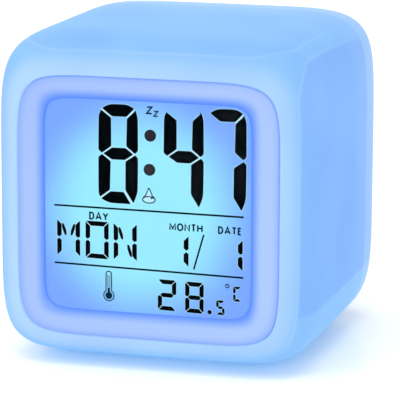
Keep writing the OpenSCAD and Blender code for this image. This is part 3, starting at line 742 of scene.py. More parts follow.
@dataclass(frozen=True)
class Rubber(Finish):
    """Matte rubber with a fine stipple."""

    colour: Colour = (62, 66, 72)

    def paint(self, g: Graph) -> Inputs:
        """Stipple in the normal and dust in the colour."""
        stipple = g.noise(g.place(), 3500.0, 2.0)
        return {"Base_Color": g.mix(wear(g, 0.35, 180.0), rgba(self.colour), rgba((120, 124, 130))),
                "Roughness": g.line(stipple, 0.15, 0.75),
                "Normal": g.bump(stipple, 0.02)}


@dataclass(frozen=True)
class CellSleeve(Finish):
    """Shrink sleeve of a cell: a dark body and a copper band at its positive end."""

    up: bool = True
    body: Colour = (34, 40, 52)
    band: Colour = (190, 128, 62)
    steel: Colour = (200, 202, 205)

    def paint(self, g: Graph) -> Inputs:
        """Bands by height along the cell, with bare steel rims beyond the sleeve."""
        z = g.centred_mm(0.0)[2]
        along = g.sub(z, CELL_LOW) if self.up else g.sub(CELL_HIGH, z)
        band = g.math("GREATER_THAN", along, CELL_CAN - 9.0)
        line = g.math("LESS_THAN", g.math("ABSOLUTE", g.sub(along, CELL_CAN - 9.8)), 0.25)
        rim = g.math("MAXIMUM", g.math("LESS_THAN", along, 0.6), g.math("GREATER_THAN", along, CELL_CAN - 0.7))
        scuff = wear(g, 0.25, 300.0)
        body = g.mix(scuff, rgba(self.body), rgba((90, 96, 106)))
        colour = g.mix(line, g.mix(band, body, rgba(self.band)), rgba((225, 225, 222)))
        return {"Base_Color": g.mix(rim, colour, rgba(self.steel)),
                "Metallic": g.line(rim, 0.6, 0.3),
                "Roughness": g.line(scuff, 0.4, 0.28)}


@dataclass(frozen=True)
class FloorPaint(Finish):
    """Pale paint with a faint sheen."""

    def paint(self, g: Graph) -> Inputs:
        """A hardly visible broad mottle."""
        return {"Base_Color": g.mix(g.noise(g.place(), 6.0, 2.0), (0.93, 0.93, 0.93, 1), (0.95, 0.95, 0.95, 1)),
                "Roughness": 0.2,
                "Specular_IOR_Level": 0.12}


class Look(Enum):
    """The finishes of the clock and its floor."""

    HOUSING = GlowPlastic("housing_glow")
    RING = RingPlastic("ring_glow")
    BACKLIGHT = Backlight("display_backlight")
    SEGMENT = Ink("segment_black")
    LINE = Ink("line_black", (4, 30, 40))
    COLON = Ink("colon_grey", (44, 42, 47))
    LETTER = Ink("letter_teal", (8, 42, 60))
    HALO = Ink("joint_pale", (186, 234, 254))
    HALO_SOFT = Ink("segment_edge_soft", (168, 228, 253))
    WINDOW = ClearSheet("window_clear")
    KEY = Plastic("key_satin", (214, 232, 250), 0.35, 0.003, 0.12)
    KEY_MARK = Plastic("key_mark_grey", (84, 96, 116), 0.5)
    FOOT = Plastic("foot_satin", (150, 190, 240), 0.42, 0.004, 0.2)
    WHITE = Plastic("holder_white", (236, 238, 240), 0.5)
    GUIDE = Plastic("guide_frosted", (222, 238, 250), 0.3, 0.002, 0.3)
    BLACK = Plastic("part_black", (30, 30, 33), 0.5)
    PLUNGER = Plastic("plunger_grey", (60, 62, 68), 0.45)
    RIBBON = Plastic("ribbon_grey", (205, 208, 212), 0.4)
    LEAD = Plastic("lead_dark", (42, 34, 36), 0.4)
    ZEBRA = Rubber("zebra_pink", (214, 150, 165))
    PAD = Rubber("pad_grey")
    STEEL = Metal("steel_plated")
    BOARD = Board("board_green")
    CELL_UP = CellSleeve("cell_up", True)
    CELL_DOWN = CellSleeve("cell_down", False)
    FLOOR = FloorPaint("floor_pale")


def dress(obj: Object, look: Look) -> None:
    """Gives a new piece its one material."""
    obj.data.materials.clear()
    obj.data.materials.append(look.value.material())


def redress(node: str, look: Look) -> None:
    """Puts a finish on every material slot of a CAD node that stays."""
    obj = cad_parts[node]
    for slot in obj.material_slots:
        slot.material = look.value.material()
    log.info("kept %s with %s", node, look.value.name)


def install(obj: Object, look: Look, body: str, slot: str, *nodes: str) -> None:
    """Dresses a piece, lets it ride on its body and stand for its CAD nodes.

    Args:
        obj: the piece.
        look: its finish.
        body: the CAD body it moves with.
        slot: not used.
        nodes: CAD nodes that it stands for, if any.
    """
    dress(obj, look)
    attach(obj, body)
    if nodes:
        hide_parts(*nodes)
    log.info("made %s (%d faces)", obj.name, len(obj.data.polygons))


def install_copy(node: str, name: str, bevel_mm: float, look: Look, body: str, slot: str) -> None:
    """Installs the smooth, bevelled copy of a CAD node that stands for it."""
    install(cad_copy(node, name, bevel_mm=bevel_mm), look, body, slot, node)


# ---------------------------------------------------------------- housing

@dataclass
class Housing:
    """Shell, bezel ring and rear cover: soft squares carried from front to rear."""

    half: float = 40.0
    wall: float = 2.2
    corner_power: float = 6.6
    edge_power: float = 7.6
    flat_ratio: float = 0.8
    y_part: float = 30.925
    foot_half: float = 23.0
    foot_corner: float = 6.0
    count: int = 288

    @property
    def front_ratio(self) -> float:
        """Share of the half width at which the bezel opening starts."""
        return BEZEL.w / self.half

    def edge_at(self, share: Array) -> Array:
        """Depth share on the edge curve k^m + v^m = 1 at the share k of the half width."""
        return (1 - np.asarray(share, float) ** self.edge_power) ** (1 / self.edge_power)

    def front_sections(self, size: float, angle: Array) -> Array:
        """Sections of the front half: the outline blends from the housing's to the bezel's.

        Args:
            size: half width of the skin.
            angle: polar angles of the points (k, v) on the edge curve, in radians.

        Returns:
            Rows for section_grid().
        """
        c, s = np.cos(angle), np.sin(angle)
        r = (c ** self.edge_power + s ** self.edge_power) ** (-1 / self.edge_power)
        k, v = c * r, s * r
        t = np.minimum(1, (1 - k) / (1 - self.front_ratio))
        return np.stack([size * k, size * k - t * (BEZEL.w - BEZEL.h),
                         self.corner_power + t * (BEZEL.power - self.corner_power),
                         -size * v / self.edge_at(self.front_ratio), Z_MID - t * (Z_MID - BEZEL.z)], axis=-1)

    def rear_sections(self, size: float, y: Array) -> Array:
        """Sections of the rear half at the depths y."""
        k = self.edge_at(y * self.edge_at(self.flat_ratio) / size)
        return np.stack([size * k, size * k, np.full_like(k, self.corner_power), y, np.full_like(k, Z_MID)], axis=-1)

    def stepped(self, square: Square, steps: list[tuple[float, float, float, float]]) -> Array:
        """Sections that step out from a soft square.

        Args:
            square: the soft square.
            steps: rows of added half width, added half height, power and depth behind the
                front of the housing.

        Returns:
            Rows for section_grid().
        """
        rows = np.array(steps) + (square.w, square.h, 0.0, -self.half)
        return np.column_stack([rows, np.full(len(rows), square.z)])

    def shell_mesh(self) -> Mesh:
        """The shell: outer skin from the bezel opening to the parting line, and back inside.

        Both skins take their sections at polar angles of the edge curve, which crowd where
        the front edge turns; the two lips are rounded by a few short steps.
        """
        start = np.arctan2(self.edge_at(self.front_ratio), self.front_ratio)
        angle = np.radians(np.concatenate([np.linspace(np.degrees(start) - 0.35, 38, 40), np.linspace(37, 0, 14)]))
        lip = self.stepped(BEZEL, [(0, 0, 7.4, 0.55), (0.03, 0.03, 7.4, 0.25), (0.12, 0.12, 7.4, 0.1)])
        rear = self.rear_sections(self.half, np.append(np.linspace(2, self.y_part - 0.3, 14), self.y_part - 0.12))
        edge = self.rear_sections(self.half, np.array([self.y_part]))
        edge[:, :2] -= 0.14
        size = self.half - self.wall
        inner_front = self.front_sections(size, np.radians(np.array([0, 20, 32, 38, 41, 43.5, 46, 47.2])))
        y_wall = -size * self.edge_at(BEZEL.w / size) / self.edge_at(self.front_ratio)
        back = np.array([[BEZEL.w, BEZEL.h, BEZEL.power, float(y_wall), BEZEL.z]])
        sections = [lip, self.front_sections(self.half, angle), rear, edge,
                    self.rear_sections(size, np.linspace(self.y_part, 2, 5)), inner_front, back]
        return swept(section_grid(np.concatenate(sections), self.count), wrap_rows=True)

    def foot_opening(self) -> Mesh:
        """Rounded square prism of the hole in the bottom."""
        t = np.linspace(0, 2 * np.pi, 96, endpoint=False)
        flat, r = self.foot_half - self.foot_corner, self.foot_corner
        x = flat * np.sign(np.cos(t)) + r * np.cos(t)
        y = flat * np.sign(np.sin(t)) + r * np.sin(t)
        return swept(np.stack([np.stack([x, y, np.full_like(t, z)], axis=-1) for z in (-2.0, 7.0)]))

    def ring_mesh(self) -> Mesh:
        """The bezel ring: a crowned face that rolls in to the window, a recess and a flange behind."""
        p = self.corner_power
        rim = [(-0.15, -0.15, 7.4, 0.9), (-0.17, -0.17, 7.4, 0.7), (-0.26, -0.26, 7.4, 0.52),
               (-0.45, -0.45, 7.4, 0.38), (-0.75, -0.75, 7.5, 0.3), (-1.2, -1.2, 7.6, 0.25), (-2.2, -1.9, 8.0, 0.21)]
        roll = [(3.0, 2.5, 8.6, 0.2), (2.2, 1.9, 9.4, 0.21), (1.6, 1.4, 10.0, 0.25), (1.2, 1.1, 10.6, 0.31),
                (0.8, 0.8, 11.0, 0.38), (0.45, 0.45, 11.5, 0.48), (0.2, 0.2, 11.8, 0.6), (0.05, 0.05, 12.0, 0.72),
                (0, 0, 12.0, 0.8), (1.5, 1.5, 12.0, 0.8), (1.5, 1.5, 12.0, 1.8)]
        recess = Square(29.3, 30.4, 24.0, Z_MID)
        flange = [(1.6, 1.3, p, 6.2), (1.6, 1.3, p, 4.6), (-0.15, -0.15, 7.4, 2.98)]
        sections = [self.stepped(BEZEL, rim), self.stepped(WINDOW, roll),
                    self.stepped(recess, [(0, 0, recess.power, depth) for depth in (1.8, 6.2)]),
                    self.stepped(BEZEL, flange)]
        return swept(section_grid(np.concatenate(sections), self.count), wrap_rows=True)

    def window_mesh(self) -> Mesh:
        """The window: a plate with softened edges, closed by caps."""
        steps = [(1.25, 1.25, 12.0, 0.81), (1.4, 1.4, 12.0, 0.96), (1.4, 1.4, 12.0, 1.65), (1.25, 1.25, 12.0, 1.8)]
        return swept(section_grid(self.stepped(WINDOW, steps), self.count // 2))

    def rear_skin(self) -> Mesh:
        """Closed body within the housing's outer skin, from before the parting line to the rear face."""
        y = np.concatenate([[self.y_part - 3.0, self.y_part + 0.02],
                            self.half * np.sin(np.radians(np.linspace(52, 90, 26)))])
        sections = self.rear_sections(self.half, y)
        sections[1, :2] -= 0.12
        return swept(section_grid(sections, self.count))

    def build(self) -> None:
        """Makes and dresses the housing's pieces."""
        shell = linked("glow_shell", self.shell_mesh())
        cut(shell, self.foot_opening())
        install(shell, Look.HOUSING, "housing", "housing_plastic", "shell")
        install(linked("bezel_ring", self.ring_mesh(), 60), Look.RING, "housing", "bezel_plastic", "front_bezel")
        install(linked("window_plate", self.window_mesh(), 60), Look.WINDOW, "housing", "clear_plastic",
                "display_window")
        cover = cad_copy("rear_cover", "back_cover", 28)
        cut(cover, self.rear_skin(), "INTERSECT")
        install(cover, Look.HOUSING, "housing", "housing_plastic", "rear_cover")


# ---------------------------------------------------------------- display

def mirrored(shape: Array, w: float, h: float, x: bool, z: bool) -> Array:
    """A shape mirrored across the middle of a digit of width w and height h."""
    return np.stack([w - shape[:, 0] if x else shape[:, 0], h - shape[:, 1] if z else shape[:, 1]], axis=-1)


@dataclass(frozen=True)
class SevenSegments:
    """A digit of seven segments with mitred joints.

    A joint runs from the outer corner inwards; each of its two sides is set back by the
    gap. The other segments are mirror images of a, b and g.
    """

    w: float
    h: float
    stroke: float
    gap: float
    corner: float

    def with_images(self, first: dict[str, Array], images: dict[str, tuple[str, bool, bool]]) -> dict[str, Array]:
        """Shapes and their mirror images, each given by the shape and whether x and z are mirrored."""
        return first | {key: mirrored(first[of], self.w, self.h, x, z) for key, (of, x, z) in images.items()}

    def shapes(self) -> dict[str, Array]:
        """Outlines by the usual letters, from the digit's lower left corner."""
        w, h, s, gap, c, m = self.w, self.h, self.stroke, self.gap, self.corner, self.h / 2
        top = np.array([[c + gap, h], [w - c - gap, h], [w - c / 2 - gap, h - c / 2], [w - s - gap, h - s],
                        [s + gap, h - s], [c / 2 + gap, h - c / 2]])
        right = np.array([[w - c / 2, h - c / 2 - gap], [w, h - c - gap], [w, m + s * 0.3 + gap],
                          [w - s / 2, m + gap], [w - s, m + s * 0.45 + gap], [w - s, h - s - gap]])
        bar = np.array([[s / 2 + gap, m], [s + gap, m + s / 2], [w - s - gap, m + s / 2], [w - s / 2 - gap, m],
                        [w - s - gap, m - s / 2], [s + gap, m - s / 2]])
        return self.with_images({"a": top, "b": right, "g": bar}, {
            "c": ("b", False, True), "d": ("a", False, True), "e": ("b", True, True), "f": ("b", True, False)})

    def joints(self) -> dict[str, Array]:
        """Middle lines of the joints, by the two letters that meet there."""
        w, h, s, m, c = self.w, self.h, self.stroke, self.h / 2, self.corner * 0.4
        first = {"ab": np.array([[w - c, h - c], [w - s, h - s]]), "bg": np.array([[w - s / 2, m], [w - s, m + s / 2]])}
        return self.with_images(first, {
            "cd": ("ab", False, True), "de": ("ab", True, True), "af": ("ab", True, False),
            "cg": ("bg", False, True), "eg": ("bg", True, True), "fg": ("bg", True, False)})


@dataclass(frozen=True)
class BoldSegments:
    """The large time digits: round-shouldered, with slanted joints and a turned lower right one.

    Corners are shares of the digit's width and height.
    """

    w: float = 10.3
    h: float = 25.2

    def shapes(self) -> dict[str, Array]:
        """Outlines by the usual letters."""
        shares = {
            "a": ([(.095, .955), (.235, 1.0), (.78, 1.0), (.905, .957), (.715, .876), (.345, .876)],
                  [.2, 1.6, 1.6, .2, .3, .3]),
            "f": ([(.072, .94), (.01, .905), (0, .535), (.09, .505), (.325, .576), (.325, .862)],
                  [.3, 1.2, .3, .2, .3, .3]),
            "b": ([(.935, .94), (.995, .9), (1, .54), (.92, .507), (.705, .58), (.72, .858)],
                  [.3, 1.5, .3, .2, .3, .3]),
            "g": ([(.125, .5), (.345, .562), (.685, .562), (.88, .502), (.67, .442), (.335, .442)], [.2] * 6),
            "e": ([(.09, .492), (0, .462), (0, .09), (.04, .055), (.29, .134), (.31, .424)],
                  [.2, .3, .8, .3, .3, .3]),
            "c": ([(.925, .495), (1, .462), (.99, .11), (.88, .01), (.68, .138), (.685, .428)],
                  [.2, .3, 1.6, .3, .3, .3]),
            "d": ([(.065, .042), (.3, .118), (.635, .118), (.815, 0), (.22, 0)], [.3, .3, .3, .2, 1.8]),
        }
        return {key: rounded(np.array(corners) * (self.w, self.h), radii) for key, (corners, radii) in shares.items()}

    def joints(self) -> dict[str, Array]:
        """Middle lines of the joints."""
        shares = {"af": [(.075, .95), (.335, .868)], "ab": [(.925, .95), (.715, .866)],
                  "fg": [(.09, .5), (.335, .571)], "eg": [(.09, .5), (.325, .432)], "bg": [(.91, .503), (.693, .572)],
                  "cg": [(.91, .503), (.675, .434)], "de": [(.03, .045), (.298, .127)],
                  "cd": [(.85, .004), (.657, .13)]}
        return {key: np.array(line) * (self.w, self.h) for key, line in shares.items()}


DIGITS = {"1": "bc", "2": "abdeg", "4": "bcfg", "5": "acdfg", "7": "abc", "8": "abcdefg", "C": "adef", "O": "abcdef",
          "I": "bcef"}
Digit = tuple[SevenSegments | BoldSegments, str, float, float]


@dataclass
class PlateSet:
    """Flat shapes of one thickness, gathered into one mesh.

    The shapes reach from the depth front back by the thickness. They are scaled across and
    up about their origin, which lies at middle (x, z). A row falls to the right the
    steeper, by keystone a millimetre, the lower it lies under the height level.
    """

    front: float
    thickness: float
    scale: Point = (1.0, 1.0)
    middle: Point = (0.0, Z_MID)
    keystone: float = 0.0
    level: float = 4.0
    shapes: list[Array] = field(default_factory=list)
    bars: list[tuple[Array, bool]] = field(default_factory=list)

    def add(self, outline: Array, x: float = 0.0, z: float = 0.0) -> None:
        """Adds a closed outline, moved to x and z (z from the middle of the display)."""
        shape = outline + (x, z)
        moved = np.linalg.norm(shape - np.roll(shape, 1, axis=0), axis=1) > SAME_M / MM
        self.shapes.append(shape[moved])

    def digit(self, kind: SevenSegments | BoldSegments, letter: str, x: float, z: float) -> None:
        """Adds the lit segments of a digit at its lower left corner."""
        shapes = kind.shapes()
        for key in DIGITS[letter]:
            self.add(shapes[key], x, z)

    def disc(self, x: float, z: float, r: float) -> None:
        """Adds a round dot."""
        self.add(circle(x, z, r))

    def stroke(self, path: Array | list[Point], width: float, closed: bool = False) -> None:
        """Adds a line of even width along a path; its two sides are offset along mitred normals."""
        path = np.asarray(path, float)
        edge = np.roll(path, -1, axis=0) - path
        if not closed:
            edge[-1] = edge[-2]
        edge /= np.linalg.norm(edge, axis=1, keepdims=True)
        normal = np.stack([-edge[:, 1], edge[:, 0]], axis=-1)
        before = np.roll(normal, 1, axis=0)
        if not closed:
            before[0] = normal[0]
        mean = normal + before
        mean /= np.maximum(np.sum(mean * normal, axis=1, keepdims=True), MITRE_LIMIT)
        left, right = path + mean * width / 2, path - mean * width / 2
        near, far = self.front, self.front + self.thickness
        corners = [(left, near), (right, near), (right, far), (left, far)]
        self.bars.append((np.stack([self.placed(p, y) for p, y in corners], axis=1), closed))

    def placed(self, shape: Array, y: float) -> Array:
        """Points of an outline, scaled and moved to their place at the depth y."""
        x, z = (shape * self.scale + self.middle).T
        fall = self.keystone * shape[:, 0] * (shape[:, 1] - self.level)
        return np.stack([x, np.full(len(shape), y), z + fall], axis=-1)

    def grown(self, by: float, front: float, thickness: float) -> "PlateSet":
        """The same filled shapes grown by an even margin, in another plane.

        Each corner moves out along the mean of its two edge normals.
        """
        grown: list[Array] = []
        for shape in self.shapes:
            after = np.roll(shape, -1, axis=0)
            edge = after - shape
            normal = np.stack([edge[:, 1], -edge[:, 0]], axis=-1)
            normal /= np.linalg.norm(normal, axis=1, keepdims=True)
            area = np.sum(shape[:, 0] * after[:, 1] - after[:, 0] * shape[:, 1])
            mean = normal + np.roll(normal, 1, axis=0)
            mean /= np.linalg.norm(mean, axis=1, keepdims=True)
            grown.append(shape + mean * by * np.sign(area))
        return replace(self, front=front, thickness=thickness, shapes=grown, bars=[])

    def mesh(self) -> Mesh:
        """All shapes as closed plates."""
        sides = (self.front, self.front + self.thickness)
        plates = [(np.stack([self.placed(shape, y) for y in sides]), False) for shape in self.shapes]
        return joined(plates + self.bars)


def arc(x: float, z: float, rx: float, rz: float, start: float, end: float, count: int = 12) -> list[Point]:
    """Points of an elliptic arc between two angles in degrees."""
    t = np.radians(np.linspace(start, end, count))
    return [(float(x + rx * np.cos(a)), float(z + rz * np.sin(a))) for a in t]


CLOSED = "DO"
STROKES: dict[str, list[list[Point]]] = {
    "A": [[(0, 0), (.5, 1.04), (1, 0)], [(.2, .3), (.8, .3)]],
    "D": [[(0, 0), (0, 1), *arc(.45, .5, .5, .5, 90, -90)]],
    "E": [[(1, 0), (0, 0), (0, 1), (1, 1)], [(0, .52), (.85, .52)]],
    "H": [[(0, 0), (0, 1)], [(1, 0), (1, 1)], [(0, .52), (1, .52)]],
    "M": [[(0, 0), (0, 1), (.5, .2), (1, 1), (1, 0)]],
    "N": [[(0, 0), (0, 1), (1, 0), (1, 1)]],
    "O": [arc(.5, .5, .5, .5, 90, 435, 24)],
    "T": [[(0, 1), (1, 1)], [(.5, 1), (.5, 0)]],
    "Y": [[(0, 1), (.5, .45), (1, 1)], [(.5, .48), (.5, 0)]],
    "Z": [[(.05, 1), (1, 1), (0, 0), (1, 0)]],
}
LETTER_W = {"A": 1.0, "D": .85, "E": .62, "H": .88, "M": 1.05, "N": .88, "O": 1.0, "T": .8, "Y": .9, "Z": .85}


@dataclass
class Display:
    """The lit display and everything that it shows."""

    face: float = field(default_factory=lambda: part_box("lcd_glass")[0][1] / MM)
    scale: Point = (0.964, 0.961)
    middle: Point = (0.205, 40.786)
    keystone: float = 0.0007
    letter_gap: float = 0.13

    def plates(self, lift: float = 0.06, thickness: float = 0.04) -> PlateSet:
        """An empty set of shapes that starts a little in front of the glass."""
        return PlateSet(self.face - lift, thickness, self.scale, self.middle, self.keystone)

    def piece(self, name: str, plates: PlateSet, look: Look) -> None:
        """Makes one piece of flat shapes."""
        install(linked(name, plates.mesh(), 30), look, "housing", "display_glass")

    def joints(self, name: str, digits: list[Digit], width: float) -> None:
        """Pale lines in the joints of lit segments.

        Args:
            name: name of the piece.
            digits: kind, letter and place of each digit.
            width: width of a line.
        """
        plates = self.plates(0.015, 0.01)
        for kind, letter, x, z in digits:
            for pair, line in kind.joints().items():
                if set(pair) <= set(DIGITS[letter]):
                    plates.stroke(line + (x, z), width)
        self.piece(name, plates, Look.HALO)

    def halo(self, name: str, plates: PlateSet, margin: float) -> None:
        """Makes the pale edge round filled shapes, just behind them."""
        self.piece(name, plates.grown(margin, self.face - 0.012, 0.006), Look.HALO_SOFT)

    def time(self) -> None:
        """The large digits of the time, and the colon."""
        plates = self.plates()
        digits = [(BoldSegments(), letter, x, z) for letter, x, z in
                  (("8", -13.05, 0.1), ("4", 3.85, 0.1), ("7", 14.75, -0.15))]
        for digit in digits:
            plates.digit(*digit)
        self.piece("time_digits", plates, Look.SEGMENT)
        self.halo("time_halo", plates, 0.12)
        self.joints("time_joints", digits, 0.5)
        colon, rims, r = self.plates(), self.plates(0.07), 1.42
        for x, z in ((0.4, 17.7), (0.2, 9.1)):
            colon.disc(x, z, r)
            rims.stroke(circle(x, z, r), 0.16, True)
        self.piece("colon_dots", colon, Look.COLON)
        self.piece("colon_rims", rims, Look.SEGMENT)

    def rules(self) -> None:
        """The two lines between the three rows."""
        plates = self.plates()
        for z in (-1.35, -16.4):
            plates.stroke([(-24.7, z), (24.4, z)], 0.46)
        self.piece("row_lines", plates, Look.LINE)

    def date(self) -> None:
        """The weekday in split segments, the two numbers and the stroke between them."""
        plates = self.plates()
        wide = SevenSegments(6.05, 9.6, 1.2, 0.14, 0.2)
        narrow = SevenSegments(3.0, 8.1, 1.25, 0.2, 0.2)
        blade = rounded([(1.3, 8.6), (1.8, 8.4), (2.45, 6.6), (2.5, 5.4), (2.0, 5.5), (1.3, 7.4)],
                        [.1, .2, .3, .15, .2, .3])
        z = -14.5
        digits = [(wide, "I", -24.0, z), (wide, "O", -16.5, z), (wide, "I", -9.15, z), (narrow, "1", 7.3, -14.95),
                  (narrow, "1", 21.2, -14.95)]
        for digit in digits:
            plates.digit(*digit)
        for x, low in ((-24.0, False), (-9.15, True)):
            plates.add(blade, x, z)
            plates.add(mirrored(blade, wide.w, wide.h, True, low), x, z)
        self.piece("date_segments", plates, Look.SEGMENT)
        self.halo("date_halo", plates, 0.14)
        self.joints("date_joints", digits[1:2], 0.3)
        slash = self.plates()
        slash.stroke([(14.2, -6.4), (11.65, -15.3)], 0.42)
        self.piece("date_slash", slash, Look.SEGMENT)

    def temperature(self) -> None:
        """The two numbers, point, small number, degree ring and unit of the temperature."""
        plates = self.plates()
        medium = SevenSegments(4.8, 7.85, 1.12, 0.1, 0.45)
        digits = [(medium, "2", 2.35, -26.35), (medium, "8", 9.45, -26.35)]
        for digit in digits:
            plates.digit(*digit)
        plates.disc(15.75, -25.75, 0.58)
        plates.digit(SevenSegments(2.2, 3.7, 0.68, 0.06, 0.2), "5", 17.45, -26.2)
        plates.digit(SevenSegments(2.1, 3.75, 0.66, 0.06, 0.2), "C", 21.8, -22.45)
        self.piece("temperature_segments", plates, Look.SEGMENT)
        self.halo("temperature_halo", plates, 0.1)
        self.joints("temperature_joints", digits, 0.26)
        ring = self.plates()
        ring.stroke(arc(20.3, -18.75, 0.44, 0.44, 0, 345, 24), 0.26, True)
        self.piece("degree_ring", ring, Look.LETTER)

    def bell(self) -> None:
        """Outline of a hand bell: a flared body over an oval mouth with its clapper."""
        x, top, crown_r, line = 0.05, 4.2, 0.18, 0.27
        s = np.linspace(0, 1, 14)
        flare = 0.25 * np.sin(s * np.pi / 2) + 0.5 * s + 0.55 * s ** 5
        left = np.stack([x - crown_r - flare, top - 2.2 * s], axis=-1)
        right = np.stack([2 * x - left[::-1, 0], left[::-1, 1]], axis=-1)
        body = np.concatenate([left[::-1], arc(x, top, crown_r, 0.2, 150, 30, 6), right[::-1]])
        mouth = np.array(arc(x, 1.5, 1.62, 0.82, 0, 350, 36))
        plates = self.plates()
        plates.stroke(body, line)
        plates.stroke(mouth, line, True)
        plates.disc(0.75, 1.95, 0.24)
        self.piece("bell_mark", plates, Look.LETTER)
        fill = self.plates(0.02, 0.01)
        fill.add(mouth)
        fill.add(body)
        self.piece("bell_fill", fill, Look.HALO)

    def thermometer(self) -> None:
        """Thermometer: outlined tube and bulb, filled bulb and column, and scale ticks."""
        plates = self.plates()
        x, low, top, tube, bulb, inner = -10.45, -23.85, -18.3, 0.72, 1.35, 0.32
        angle = float(np.degrees(np.arcsin(tube / bulb)))
        outline = arc(x, top, tube, tube, 0, 180, 12) + arc(x, low, bulb, bulb, 90 + angle, 450 - angle, 30)
        plates.stroke(outline, 0.27, True)
        plates.disc(x, low, 0.92)
        plates.stroke([(x, low), (x, -21.8)], 0.62)
        for side in (x - inner, x + inner):
            plates.stroke([(side, -21.7), (side, top)], 0.1)
        for tick in range(6):
            level = -21.4 + 0.5 * tick
            plates.stroke([(x - inner, level), (x + inner, level)], 0.12)
        self.piece("thermometer_mark", plates, Look.LETTER)

    def word(self, plates: PlateSet, text: str, left: float, right: float, low: float, height: float,
             width: float) -> None:
        """Adds a word of stroke letters between two sides.

        Args:
            plates: set of shapes that takes it.
            text: capital letters.
            left: outer left side.
            right: outer right side.
            low: foot, from the middle of the display.
            height: height of a capital.
            width: width of a stroke.
        """
        widths = np.array([LETTER_W[c] for c in text])
        unit = (right - left) / (widths.sum() + self.letter_gap * (len(text) - 1))
        starts = left + (np.cumsum(widths) - widths + self.letter_gap * np.arange(len(text))) * unit
        for letter, start, share in zip(text, starts, widths):
            size = np.array([share * unit - width, height - width])
            for path in STROKES[letter]:
                plates.stroke(np.array(path) * size + (start + width / 2, low + width / 2), width, letter in CLOSED)

    def words(self) -> None:
        """DAY, MONTH, DATE and the two letters of the snooze mark."""
        plates = self.plates()
        self.word(plates, "DAY", -15.55, -10.5, -4.55, 2.05, 0.41)
        self.word(plates, "MONTH", 5.3, 13.95, -5.9, 2.0, 0.41)
        self.word(plates, "DATE", 17.85, 23.9, -5.9, 1.95, 0.41)
        self.piece("column_words", plates, Look.LETTER)
        snooze = self.plates()
        self.word(snooze, "Z", -0.7, 1.0, 23.05, 2.0, 0.42)
        self.word(snooze, "Z", 1.15, 2.55, 22.45, 1.55, 0.36)
        self.piece("snooze_letters", snooze, Look.LETTER)

    def build(self) -> None:
        """Makes the display's pieces."""
        redress("lcd_glass", Look.BACKLIGHT)
        self.time()
        self.rules()
        self.date()
        self.temperature()
        self.bell()
        self.thermometer()
        self.words()


# ---------------------------------------------------------------- rear panel

class KeyMark(Enum):
    """Raised marks of the four rear keys."""

    MODE = "mode"
    SET = "set"
    UP = "up"
    DOWN = "down"


@dataclass
class RearPanel:
    """Keys, light switch and battery door."""

    key_z: float = 68.6
    key_top: float = 39.9
    skirt_y: float = 37.7
    flange_y: float = 36.9
    stem_y: float = 35.9
    key_r: float = 3.0
    dish_r: float = 2.3
    stem_r: float = 1.6
    key_x: tuple[float, ...] = (-20.0, -10.0, 0.0, 10.0)

    def key_mesh(self, x: float) -> Mesh:
        """A key turned from one profile: a dished top, rounded rim, skirt, flange and stem."""
        top, r, stem, flange = self.key_top, self.key_r, self.stem_r, self.key_r + 0.4
        dish_r = np.linspace(0, self.dish_r, 8)
        dish = np.stack([dish_r, top - 0.28 * (1 - (dish_r / self.dish_r) ** 2)], axis=-1)
        rim = rounded([(self.dish_r, top), (r, top), (r, self.skirt_y)], [0, .45, 0])
        rest = rounded([(r, self.skirt_y), (flange, self.skirt_y), (flange, self.flange_y), (stem, self.flange_y),
                        (stem, self.stem_y), (0.0, self.stem_y)], [0, .1, .1, 0, .1, 0])
        return swept(turned(np.concatenate([dish, rim, rest[1:]]), (x, 0.0, self.key_z), "y", 72))

    def mark_mesh(self, x: float, mark: KeyMark) -> Mesh:
        """Raised mark in the dish of a key."""
        plates = PlateSet(self.key_top - 0.34, 0.16)
        z = self.key_z - Z_MID
        if mark in (KeyMark.UP, KeyMark.DOWN):
            sign = 1 if mark is KeyMark.UP else -1
            plates.add(np.array([[-1.15, -0.8 * sign], [1.15, -0.8 * sign], [0, 1.1 * sign]]), x, z)
        elif mark is KeyMark.SET:
            plates.stroke(circle(x, z, 1.05), 0.26, True)
            plates.stroke([(x, z + 0.75), (x, z), (x - 0.5, z - 0.3)], 0.22)
        else:
            for row in (-0.7, 0.0, 0.7):
                plates.stroke([(x - 1.0, z + row), (x + 1.0, z + row)], 0.26)
        return plates.mesh()

    def build(self) -> None:
        """Makes the rear panel's pieces."""
        for mark, x in zip(KeyMark, self.key_x):
            body = f"{mark.value}_key"
            install(linked(f"{mark.value}_cap", self.key_mesh(x), 35), Look.KEY, body, "key_plastic",
                    f"{mark.value}_button")
            install(linked(f"{mark.value}_mark", self.mark_mesh(x, mark), 30), Look.KEY_MARK, body, "key_plastic")
        install_copy("light_switch_knob", "light_knob_cap", 0.08, Look.KEY, "light_knob", "key_plastic")
        install_copy("battery_cover", "battery_door_panel", 0.15, Look.HOUSING, "battery_door", "housing_plastic")
        install_copy("rear_screws", "rear_screw_set", 0.0, Look.STEEL, "housing", "steel")


# ---------------------------------------------------------------- cells and foot

